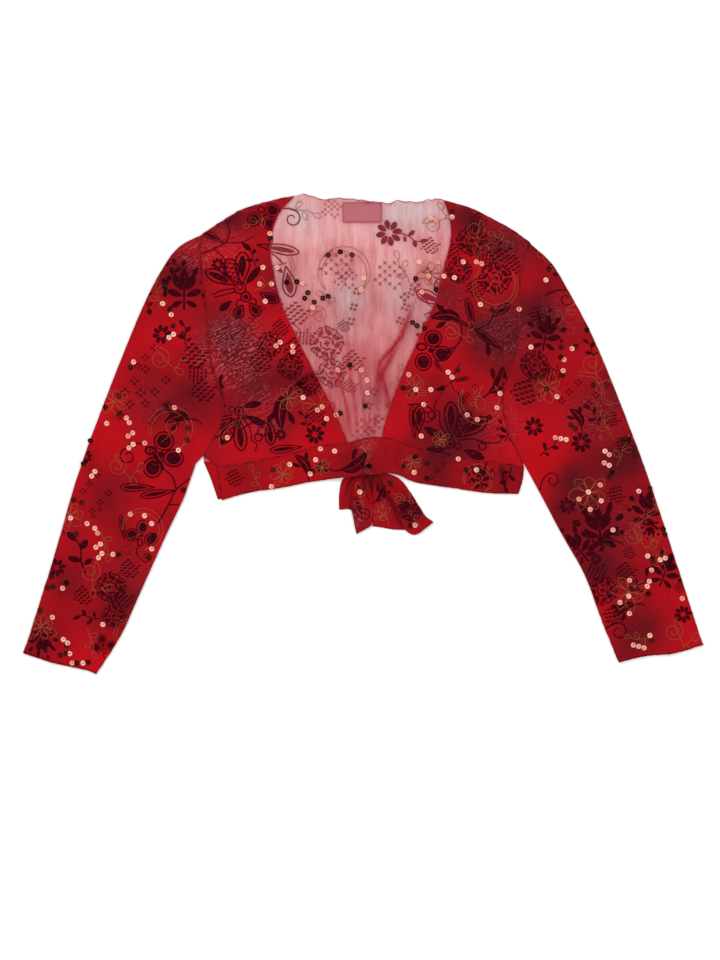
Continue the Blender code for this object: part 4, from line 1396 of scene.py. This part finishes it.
def back_panel():
    top = joined(sample(RIGHT.shoulder, SHOULDER_CELLS)[::-1], sample(BACK_NECK, NECK_CELLS),
                 sample(LEFT.shoulder, SHOULDER_CELLS))
    hem = sample(BACK_HEM, len(top) - 1)
    sides = [joined(sample(armhole, FRONT_ROWS - HEM_ROWS),
                    sample([armhole[-1], tuple(corner)], HEM_ROWS))
             for armhole, corner in ((RIGHT.armhole, hem[0]), (LEFT.armhole, hem[-1]))]
    net = patch(top, hem, *sides)
    down = parameters(net)[1]
    frill = NECK_FRILL * np.exp(-(down / 0.012) ** 2) * (1 + np.sin(net[..., 0] / 3.1))
    crinkles = np.abs(crinkle_height(BACK_CRINKLES, net))
    height = (LOWER_CLOTH + fold_height(BACK_FOLDS, net) + crinkles + frill
              + 0.5 * rumple(net, seed=4.5))
    return Panel("back_cloth", with_height(net, height), [back_inner, back_outer], BACK_FOLDS)


def pulled_in(net):
    """Rows with both ends drawn in to leave room for the folds along the sleeve."""
    net = net.copy()
    for end, near in ((0, 1), (-1, -2)):
        net[:, end] += EDGE_INSET * unit(net[:, near] - net[:, end])
    return net


def round_fold(last, before):
    """Columns of points round a flattened fold, from the raised layer to the low one."""
    outward = unit(last - before)
    uneven = [FOLD_WANDER * noise.noise(Vector((x / 5.0, y / 5.0, 3.3))) for x, y in last]
    reach = (FOLD_RADIUS + np.array(uneven))[:, None]
    middle, half = (LOWER_CLOTH + RAISED) / 2, (RAISED - LOWER_CLOTH) / 2
    columns = []
    for k in range(1, FOLD_CELLS):
        angle = math.pi * k / FOLD_CELLS
        plan = last + outward * reach * math.sin(angle)
        level = np.full((len(last), 1), middle + half * math.cos(angle))
        columns.append(np.hstack([plan, level]))
    return np.stack(columns, axis=1)


def sleeve(name, side, away):
    armhole = sample(side.armhole, SLEEVE_CELLS) + np.array([away * SEAM_GAP, 0])
    outer = sample(side.outer_edge, SLEEVE_ROWS)
    inner = sample(side.inner_edge, SLEEVE_ROWS)
    outer[0], inner[0] = armhole[0], armhole[-1]
    net = pulled_in(patch(armhole, sample(side.cuff, SLEEVE_CELLS), outer, inner))
    u, v = parameters(net)
    off_edges = (soft_step(u / SLEEVE_FADE) * soft_step((1 - u) / SLEEVE_FADE)
                 * soft_step(v / SLEEVE_TOP_FADE))
    cuff_wave = CUFF_WAVE * past(v, CUFF_WAVE_START) * np.sin(6 * math.pi * u)
    frill = CUFF_FRILL * past(v, CUFF_FRILL_START) * np.sin(2 * math.pi * CUFF_FRILL_WAVES * u)
    upper_height = RAISED + (fold_height(SLEEVE_FOLDS, net) + cuff_wave + frill
                             + rumple(net, seed=2.5)) * off_edges
    upper = with_height(net, upper_height)
    lower = with_height(net, LOWER_CLOTH + 0.5 * rumple(net, seed=6.5))
    inner_fold = round_fold(net[:, -1], net[:, -2])
    outer_fold = round_fold(net[:, 0], net[:, 1])
    rings = np.concatenate([upper, inner_fold, lower[:, ::-1], outer_fold[:, ::-1]], axis=1)
    # Painted shade darkens the doubled cloth of the folds and the cuff
    shade = FOLD_SHADE + 0.5 * soft_noise(rings, wavelength=9.0, seed=5.1)
    rim_shade = np.zeros(rings.shape[:2])
    for first in (SLEEVE_CELLS + 1, 2 * SLEEVE_CELLS + FOLD_CELLS + 1):
        fold = slice(first, first + FOLD_CELLS - 1)
        rim_shade[:, fold] = shade[:, fold]
    rim_shade[:, (0, SLEEVE_CELLS)] = 0.5 * shade[:, (0, SLEEVE_CELLS)]
    rim_shade[-1] = CUFF_SHADE
    return Panel(name, rings, [sleeve_outer, inner_face], SLEEVE_FOLDS, closed=True,
                 flip=away > 0, rim_shade=rim_shade)


def front_band():
    top = joined(sample(RIGHT_BAND_TOP, FRONT_CELLS), sample(MIDDLE_BAND_TOP, BAND_MIDDLE_CELLS),
                 sample(LEFT_BAND_TOP, FRONT_CELLS))
    net = patch(top, sample(FRONT_BAND_BOTTOM, len(top) - 1),
                sample(FRONT_BAND_RIGHT_END, BAND_ROWS), sample(FRONT_BAND_LEFT_END, BAND_ROWS))
    height = (LAID + BAND_LIFT + knot_rise(net) + fold_height(FELT_FOLDS, net)
              + fold_height(BAND_FOLDS, net) + rumple(net, seed=8.5))
    return Panel("front_band_cloth", with_height(net, height), [band_outer], BAND_FOLDS)


def back_band(name, side_end, toward):
    knot_x, knot_y = KNOT_CENTRE[0] + toward * (KNOT_SIZE[0] / 2 + SEAM_GAP), KNOT_CENTRE[1]
    root_half, clear_of_knot, middle_y = 8.5, 14.0, -66     # sizes that the knot hides
    hem = sample(BACK_HEM, 120)
    hem = hem[toward * (hem[:, 0] - knot_x) > clear_of_knot]
    hem = hem[np.argsort(toward * hem[:, 0])]
    top_line = [(knot_x, knot_y + root_half)] + [tuple(p) for p in hem[::8]] + [tuple(hem[-1])]
    top = sample([(x, y - SEAM_GAP) for x, y in top_line], BACK_BAND_CELLS)
    bottom = sample([(knot_x, knot_y - root_half), ((knot_x + side_end[-1][0]) / 2, middle_y),
                     side_end[-1]], BACK_BAND_CELLS)
    side = sample([tuple(top[-1])] + side_end[1:], BACK_BAND_ROWS)
    net = patch(top, bottom, sample([tuple(top[0]), tuple(bottom[0])], BACK_BAND_ROWS), side)
    u, v = parameters(net)
    gather = BAND_GATHER * np.sin(2 * math.pi * 3 * v) * soft_step((0.5 - u) / 0.5)
    return Panel(name, with_height(net, LOWER_CLOTH + gather + 0.5 * rumple(net, seed=9.5)),
                 [band_outer], flip=toward < 0)


def tie_tail(name, tail, seed):
    under_hem, fold, top_hem = (sample(line, TAIL_ROWS) for line in
                                (tail.under_hem, tail.fold, tail.top_hem))
    share = np.linspace(0, 1, TAIL_CELLS + 1)[:, None]
    under = patch(under_hem[0] * (1 - share) + fold[0] * share,
                  sample(tail.under_end, TAIL_CELLS), under_hem, fold)
    over = patch(fold[0] * (1 - share) + top_hem[0] * share,
                 sample(tail.top_end, TAIL_CELLS), fold, top_hem)
    corner = fold + EDGE_INSET * unit(under[:, -2] - fold)
    under[:, -1] = corner
    over[:, 0] = corner
    u, v = parameters(over)
    off_fold = soft_step(u / TAIL_FADE)
    spread = np.sin(math.pi * np.clip(v / 0.9, 0, 1))
    pleats = TAIL_PLEAT * spread * np.sin(2 * math.pi * u) ** 2
    fine = TAIL_WAVE * spread * np.sin(2 * math.pi * (4 * u + 0.4 * v + seed)) * off_fold
    frill = TAIL_FRILL * past(v, TAIL_FRILL_START) * np.sin(2 * math.pi * 5 * u) * off_fold
    creases = 0.4 * fold_height(TAIL_FOLDS, over) * off_fold
    over = with_height(over, RAISED + pleats + creases + np.maximum(fine + frill, -0.5))
    under = with_height(under, LOWER_CLOTH + 0.3 * rumple(under, seed))
    turn = round_fold(corner, under[:, -2, :2])
    net = np.concatenate([under, turn[:, ::-1], over], axis=1)
    return Panel(name, net, [band_outer], TAIL_FOLDS, flip=True)


panels = {
    "back": back_panel(),
    "right_front": front_panel("right_front_cloth", RIGHT, RIGHT_BAND_TOP),
    "left_front": front_panel("left_front_cloth", LEFT, LEFT_BAND_TOP),
    "right_sleeve": sleeve("right_sleeve_cloth", RIGHT, -1),
    "left_sleeve": sleeve("left_sleeve_cloth", LEFT, 1),
    "front_band": front_band(),
    "back_band_right": back_band("back_band_right_cloth", RIGHT_BACK_BAND_SIDE, -1),
    "back_band_left": back_band("back_band_left_cloth", LEFT_BACK_BAND_SIDE, 1),
    "tie_tail_right": tie_tail("tie_tail_right_cloth", RIGHT_TAIL, 0.1),
    "tie_tail_left": tie_tail("tie_tail_left_cloth", LEFT_TAIL, 0.6),
}


# What is sewn on the panels

def sew(key, name, points, faces, material, closed=False):
    """Make a piece and add it to what is sewn on a panel."""
    piece = make_object(f"{key}_{name}", points, faces, [material], closed)
    panels[key].sewn.append(piece)
    return piece


def lay_flock(key, name, motifs, side=1, material=flock, thickness=FLOCK):
    """The flocked print of one panel, as thin raised shapes on one of its faces."""
    drawing = Drawing()
    for motif in motifs:
        if motif.kind in FLOCK_KINDS:
            drawing.merge(FLOCK_KINDS[motif.kind], *motif[1:])
    lift = side * ((SHELL + thickness) / 2 + FLOCK_GAP)
    heights = [panels[key].height(x, y, side) for x, y in drawing.points]
    kept = [face for face in drawing.faces if all(heights[k] is not None for k in face)]
    used = sorted({k for face in kept for k in face})
    place = {k: i for i, k in enumerate(used)}
    points = [(*drawing.points[k], heights[k] + lift) for k in used]
    faces = [tuple(place[k] for k in face) for face in kept]
    if faces:
        thicken(sew(key, name, points, faces, material), thickness)


def add_stitch(points, faces, panel, ends, side):
    """One stitch: a four-sided thread that rises between its two ends."""
    heights = [panel.height(x, y, side) for x, y in ends]
    ahead = ends[2] - ends[0]
    length = np.linalg.norm(ahead)
    if None in heights or length < SHORTEST_STITCH:
        return
    normal = np.array([-ahead[1], ahead[0]]) / length * THREAD / 2
    up = side * THREAD / 2
    first = len(points)
    middle_rise = STITCH_RISE if side > 0 else UNDER_STITCH_RISE
    for end, height, rise in zip(ends, heights, (STITCH_END_RISE, middle_rise, STITCH_END_RISE)):
        level = height + side * (SHELL / 2 + rise)
        points += [(*(end + normal), level), (*end, level + up),
                   (*(end - normal), level), (*end, level - up)]
    faces += [tuple(first + k for k in face) for face in net_faces(3, 4, closed=True)]
    faces += [tuple(range(first, first + 4)), tuple(range(first + 8, first + 12))]


def run_stitches(points, faces, panel, curve, pitch, length, side=1):
    """Stitches at an even pitch along a curve."""
    starts = pitch * np.arange(int(length_of(curve) / pitch))
    for ends in zip(*(along(curve, starts + share * length)[:, :2] for share in (0, 0.5, 1))):
        add_stitch(points, faces, panel, ends, side)


def lay_thread(key, name, motifs, side=1):
    """Running stitches of gold thread along the lines of the gold motifs."""
    points, faces = [], []
    for motif in motifs:
        if motif.kind not in GOLD_KINDS:
            continue
        for line in GOLD_KINDS[motif.kind]():
            curve = smooth_curve(moved(line, *motif[1:]), 8)
            run_stitches(points, faces, panels[key], curve, STITCH_PITCH, STITCH, side)
    if faces:
        sew(key, name, points, faces, gold, closed=True)


SEQUIN_PROFILE = ((SEQUIN_HOLE, 0.02), (1.5, 0.0), (2.2, 0.16), (SEQUIN_RADIUS, 0.52),
                  (SEQUIN_RADIUS - 0.05, 0.62), (2.1, 0.30), (1.45, 0.14), (SEQUIN_HOLE, 0.15))
SEQUIN_SEGMENTS = 18
LIGHT_TILT, DARK_TILT, UNDER_TILT = 9.0, 16.0, 1.5      # degrees
UNDER_CUP = 0.35           # sequins below lie flatter, between the cloth and the table
SEQUIN_GAP, UNDER_SEQUIN_GAP = 0.25, 0.02               # from the print to a sequin


def lay_sequins(key, name, rows, material, side=1, tilt=LIGHT_TILT):
    """Cupped rings, each stitched down at its hole and tipped a little."""
    points, faces = [], []
    cup, gap = (1.0, SEQUIN_GAP) if side > 0 else (UNDER_CUP, UNDER_SEQUIN_GAP)
    ring = len(SEQUIN_PROFILE)
    for row in rows:
        for k in range(row.count):
            x, y = polar(ROW_PITCH * k, row.turn, (row.x, row.y))
            tip = Matrix.Rotation(math.radians(rng.uniform(0.2, 1.0) * tilt), 3,
                                  Vector((rng.uniform(-1, 1), rng.uniform(-1, 1), 0.01)))
            height = panels[key].height(x, y, side)
            if height is None:
                continue
            first = len(points)
            base = height + side * (SHELL / 2 + FLOCK + gap)
            for s in range(SEQUIN_SEGMENTS):
                a = 2 * math.pi * s / SEQUIN_SEGMENTS
                start, after = first + s * ring, first + (s + 1) % SEQUIN_SEGMENTS * ring
                for p, (radius, level) in enumerate(SEQUIN_PROFILE):
                    spot = tip @ Vector((radius * math.cos(a), radius * math.sin(a), level * cup))
                    points.append((x + spot.x, y + side * spot.y, base + side * spot.z))
                    q = (p + 1) % ring
                    faces.append((start + p, start + q, after + q, after + p))
    if faces:
        sew(key, name, points, faces, material, closed=True)


EDGE_SIDES = 6
EDGE_STEP = 2.0
SIDEWAYS = 2.2             # a rolled edge's sideways wander, over its wave's height


def edge_roll(key, name, line, radius, wave=0.0, wavelength=9.0, material=seam_red):
    """A thin rolled edge or seam along points in space, with a small wave."""
    length = length_of(line)
    count = max(8, int(length / EDGE_STEP))
    points = along(line, np.linspace(0, length, count + 1))
    sideways = unit(np.cross(unit(np.gradient(points, axis=0)), (0.0, 0.0, 1.0)))
    phase = math.pi * np.linspace(0, length, count + 1) / wavelength
    points[:, 2] += wave * np.abs(np.sin(phase))
    points += SIDEWAYS * wave * soft_noise(points[:, None], wavelength=6.0, seed=1.7) * sideways
    rings = []
    for k in range(EDGE_SIDES):
        a = 2 * math.pi * k / EDGE_SIDES
        rings.append(points + radius * (math.cos(a) * sideways + (0.0, 0.0, math.sin(a))))
    faces = net_faces(len(points), EDGE_SIDES, closed=True)
    last = EDGE_SIDES * (len(points) - 1)
    faces += [tuple(range(EDGE_SIDES)), tuple(range(last, last + EDGE_SIDES))]
    sew(key, name, np.stack(rings, axis=1).reshape(-1, 3), faces, material, closed=True)


FRONTS = ("right_front", "left_front")
SLEEVES = ("right_sleeve", "left_sleeve")
TAILS = ("tie_tail_right", "tie_tail_left")
BACK_BANDS = ("back_band_right", "back_band_left")

HEM_KINDS = ("daisy", "tulip", "sprig", "rosette_edge", "cross_net", "curl", "wavy_leaf",
             "orchid", "long_leaf", "lotus", "branch", "rosette",
             "gold_flower", "gold_swirl", "gold_sprig", "gold_crescent")
HEM_PITCH = 46.0
BAND_PITCH = 34.0
SHIFT = 0.16               # of a scattered motif, over the pitch
MOTIF_REACH = 8            # how far round a scattered motif there has to be cloth


def scattered(key, kinds, pitch, keep=lambda x, y: True):
    """Motifs spread over a hidden face: one to a cell, shifted, turned and sized unevenly."""
    panel = panels[key]
    low, high = panel.points.min(axis=0), panel.points.max(axis=0)
    found = []
    columns, rows = (int((high[k] - low[k]) / pitch) + 1 for k in (0, 1))
    for j in range(rows):
        for i in range(columns):
            x = low[0] + pitch * (i + 0.5 * (j % 2) + rng.uniform(-SHIFT, SHIFT))
            y = low[1] + pitch * (j + 0.5 + rng.uniform(-SHIFT, SHIFT))
            kind = kinds[(3 * i + 5 * j + rng.randrange(2)) % len(kinds)]
            motif = Motif(kind, x, y, rng.uniform(-40, 40), rng.uniform(0.75, 1.05))
            near = [panel.height(x + MOTIF_REACH * a, y + MOTIF_REACH * b, -1)
                    for a, b in ((1, 0), (-1, 0), (0, 1), (0, -1))]
            if keep(x, y) and None not in near:
                found.append(motif)
    return found


def scattered_rows(*where):
    """Short rows of sequins spread in the same way."""
    return [Row(m.x, m.y, 1 + k % 2, 40 * k)
            for k, m in enumerate(scattered(where[0], ("daisy",), *where[1:]))]


# The open V between the fronts: its foot, its half width there and how fast that grows
V_MIDDLE, V_FOOT, V_HALF_WIDTH, V_SPREAD = -2, -13, 40, 0.32


def hidden_back(x, y):
    """Whether a plan point of the back lies under a front, away from the open V."""
    return abs(x - V_MIDDLE) > V_HALF_WIDTH + V_SPREAD * (y - V_FOOT)


def in_the_v(rows):
    return [row for row in rows if not hidden_back(row.x, row.y) and row.y > V_FOOT + 3]


def decorate(key, motifs, side=1, under=""):
    lay_flock(key, under + "flock", motifs, side)
    lay_thread(key, under + "thread", motifs, side)


def lay_both_sequins(key, light_rows, dark_rows):
    lay_sequins(key, "light_sequins", light_rows, light_sequin)
    lay_sequins(key, "dark_sequins", dark_rows, dark_sequin, tilt=DARK_TILT)


for key, motifs in MOTIFS.items():
    decorate(key, motifs)
hidden_motifs = scattered("back", HEM_KINDS, HEM_PITCH, hidden_back)
draws = rng.getstate()
decorate("back", BACK_MOTIFS + hidden_motifs, side=-1)
lay_flock("back", "print_through", BACK_MOTIFS, 1, soaked, PRINT_THROUGH)
# The same stitches, drawn alike, on the inner face
rng.setstate(draws)
lay_thread("back", "thread_through", BACK_MOTIFS)
for key in SLEEVES:
    decorate(key, scattered(key, HEM_KINDS, HEM_PITCH), side=-1, under="under_")
for key in BACK_BANDS:
    decorate(key, scattered(key, ("daisy", "sprig", "gold_sprig"), BAND_PITCH), side=-1)

for key in (*FRONTS, "front_band", *SLEEVES):
    lay_both_sequins(key, LIGHT_SEQUINS, DARK_SEQUINS)
for key in TAILS:
    lay_both_sequins(key, TAIL_LIGHT_SEQUINS, DARK_SEQUINS)
lay_both_sequins("back", in_the_v(LIGHT_SEQUINS), in_the_v(DARK_SEQUINS))
for where in (("back", 38.0, hidden_back), ("right_sleeve", 32.0), ("left_sleeve", 32.0)):
    lay_sequins(where[0], "under_sequins", scattered_rows(*where), light_sequin, -1, UNDER_TILT)

# Rolled edges and seams, each with its radius and the height and length of its waves
neck = panels["back"].net[0, SHOULDER_CELLS:SHOULDER_CELLS + NECK_CELLS + 1]
edge_roll("back", "neck_edge", neck, EDGE_RADIUS, 0.9, 8.0, pale_edge)
for key in FRONTS:
    net = panels[key].net
    edge_roll(key, "neck_edge", net[:, 0], EDGE_RADIUS, 0.3, 7.0, pale_edge)
    edge_roll(key, "armhole_seam", net[:-6, -1] + (0, 0, 0.2), 0.75, 0.3, 5.0)
    edge_roll(key, "shoulder_seam", net[0] - (0, 0, 0.1), 0.8, 0.3, 6.0)
net = panels["front_band"].net
edge_roll("front_band", "top_seam", net[0] + (0, 0, 0.15), 0.55)
edge_roll("front_band", "hem", net[-1], 0.5, 0.2, 8.0)
edge_roll("front_band", "right_side_seam", net[:, 0], 0.5)
edge_roll("front_band", "left_side_seam", net[:, -1], 0.5)
for key in SLEEVES:
    cuff = panels[key].net[-1]
    edge_roll(key, "cuff_edge", np.vstack([cuff, cuff[:1]]), 0.5, 0.25, 7.0)
for key in TAILS:
    net = panels[key].net
    edge_roll(key, "end", net[-1], 0.4, 0.2, 6.0)
    edge_roll(key, "hem", net[:, -1], 0.4, 0.2, 6.0)
    edge_roll(key, "under_hem", net[:, 0], 0.35)
for key in BACK_BANDS:
    edge_roll(key, "hem", panels[key].net[-1], 0.45)
    edge_roll(key, "side_seam", panels[key].net[:, -1], 0.45)


# Knot and label

def knot():
    """The hidden knot: a flattened lump wound with the band's turns."""
    shape = bmesh.new()
    bmesh.ops.create_uvsphere(shape, u_segments=64, v_segments=36, radius=1.0)
    half = [s / 2 for s in KNOT_SIZE]
    groove_depth, groove_width, turn_depth, flat_below = 0.12, 0.22, 0.04, 0.9
    for vert in shape.verts:
        x, y, z = vert.co
        squared = [math.copysign(abs(c) ** 0.5, c) for c in (x, y, z)]
        groove = groove_depth * math.exp(-((x - 0.55 * y) / groove_width) ** 2) if z > 0 else 0
        turns = 1 - turn_depth * math.sin(9 * (x - 0.4 * y)) ** 2
        level = (max(squared[2] * (1 - groove) * turns, -flat_below) + flat_below) * half[2]
        vert.co = Vector((KNOT_CENTRE[0] + squared[0] * turns * half[0],
                          KNOT_CENTRE[1] + 1.2 + squared[1] * turns * (half[1] - 1.3),
                          level)) * MM
    mesh = bpy.data.meshes.new("tie_knot_cloth")
    shape.to_mesh(mesh)
    shape.free()
    mesh.materials.append(band_outer)
    mesh.shade_smooth()
    return place_object("tie_knot_cloth", mesh)


def label():
    """A plain woven satin rectangle with folded ends and a stitched edge."""
    x, y = np.meshgrid(np.linspace(-0.5, 0.5, 41), np.linspace(0.5, -0.5, 23))
    ripple, end_rise = 0.12, 0.25
    height = ripple * np.sin(9 * x) * np.cos(5 * y) + end_rise * np.abs(2 * y) ** 6
    net = np.stack([LABEL_CENTRE[0] + LABEL_SIZE[0] * x, LABEL_CENTRE[1] + LABEL_SIZE[1] * y,
                    LAID + height], axis=2)
    panel = Panel("neck_label_satin", net, [label_satin])
    inset = net[1:-1, 1:-1]
    points, faces = [], []
    for edge in (inset[0], inset[:, -1], inset[-1][::-1], inset[:, 0][::-1]):
        run_stitches(points, faces, panel, edge, LABEL_STITCH_PITCH, LABEL_STITCH)
    panel.sewn.append(make_object("neck_label_stitches", points, faces, [pale_edge], closed=True))
    return panel


panels["neck_label"] = label()
knot_piece = knot()

# The part that each panel stands for, where its name is not the panel's own
NODES = {"back": "back_panel"}
# Cut width and length of each panel, in metres
CUTS = {
    "back": (0.43, 0.35), "right_front": (0.20, 0.35), "left_front": (0.20, 0.35),
    "right_sleeve": (0.58, 0.60), "left_sleeve": (0.58, 0.60), "front_band": (0.40, 0.055),
    "back_band_right": (0.21, 0.055), "back_band_left": (0.19, 0.055),
    "tie_tail_right": (0.075, 0.085), "tie_tail_left": (0.10, 0.095),
    "neck_label": (0.050, 0.0262),
}

for key, panel in panels.items():
    for piece in [panel.piece] + panel.sewn:
        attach(piece, "root")
    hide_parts(NODES.get(key, key))
    width, length = CUTS[key]
    min(round(panel.area(), 5), width * length)
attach(knot_piece, "root")
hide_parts("tie_knot")


# Floor, lights and camera

def stage():
    mesh = bpy.data.meshes.new("floor")
    reach, drop = 6.0, -0.0003
    corners = [(-reach, -reach, drop), (reach, -reach, drop), (reach, reach, drop),
               (-reach, reach, drop)]
    mesh.from_pydata(corners, [], [(0, 1, 2, 3)])
    floor = place_object("floor", mesh)
    material, n, shader = new_material("white paper", 0.9, Emission_Strength=0.12)
    n.feed(shader["Base Color"], n.mixed(n.noise(n.place(), 300.0, 3.0), (0.93, 0.93, 0.93),
                                         (0.95, 0.95, 0.95)))
    n.feed(shader["Emission Color"], (1, 1, 1, 1))
    facing = n.add("NewGeometry", {}).outputs["Backfacing"]
    n.feed(shader["Alpha"], n.math("SUBTRACT", 1.0, facing))
    mesh.materials.append(material)


def soft_light(name, place, target, size, power):
    data = bpy.data.lights.new(name, "AREA")
    data.shape = "SQUARE"
    data.size = size
    data.energy = power
    lamp = place_object(name, data)
    lamp.location = place
    lamp.rotation_euler = (Vector(target) - Vector(place)).to_track_quat("-Z", "Y").to_euler()


stage()
soft_light("key light", (-2.0, 2.2, 3.4), (0, 0, 0), 1.6, 68.0)
soft_light("fill light", (2.2, -1.6, 3.6), (0, -0.2, 0), 2.0, 44.0)
world = bpy.data.worlds.new("studio")
world.use_nodes = True
backdrop = world.node_tree.nodes["Background"].inputs
backdrop["Color"].default_value = (1.0, 1.0, 1.0, 1.0)
backdrop["Strength"].default_value = 0.62
bpy.context.scene.world = world
bpy.context.scene.view_settings.view_transform = "Standard"

# The picture's frame is 1.219 m high, seen from straight above
FRAME_HEIGHT = 1.2192
LENS = 85.0
SENSOR = 36.0
camera_data = bpy.data.cameras.new("camera")
camera_data.lens = LENS
camera_data.sensor_width = SENSOR
camera_data.clip_end = 20.0
camera = place_object("camera", camera_data)
camera.location = (-0.0038, -0.0597, FRAME_HEIGHT * LENS / SENSOR)
bpy.context.scene.camera = camera
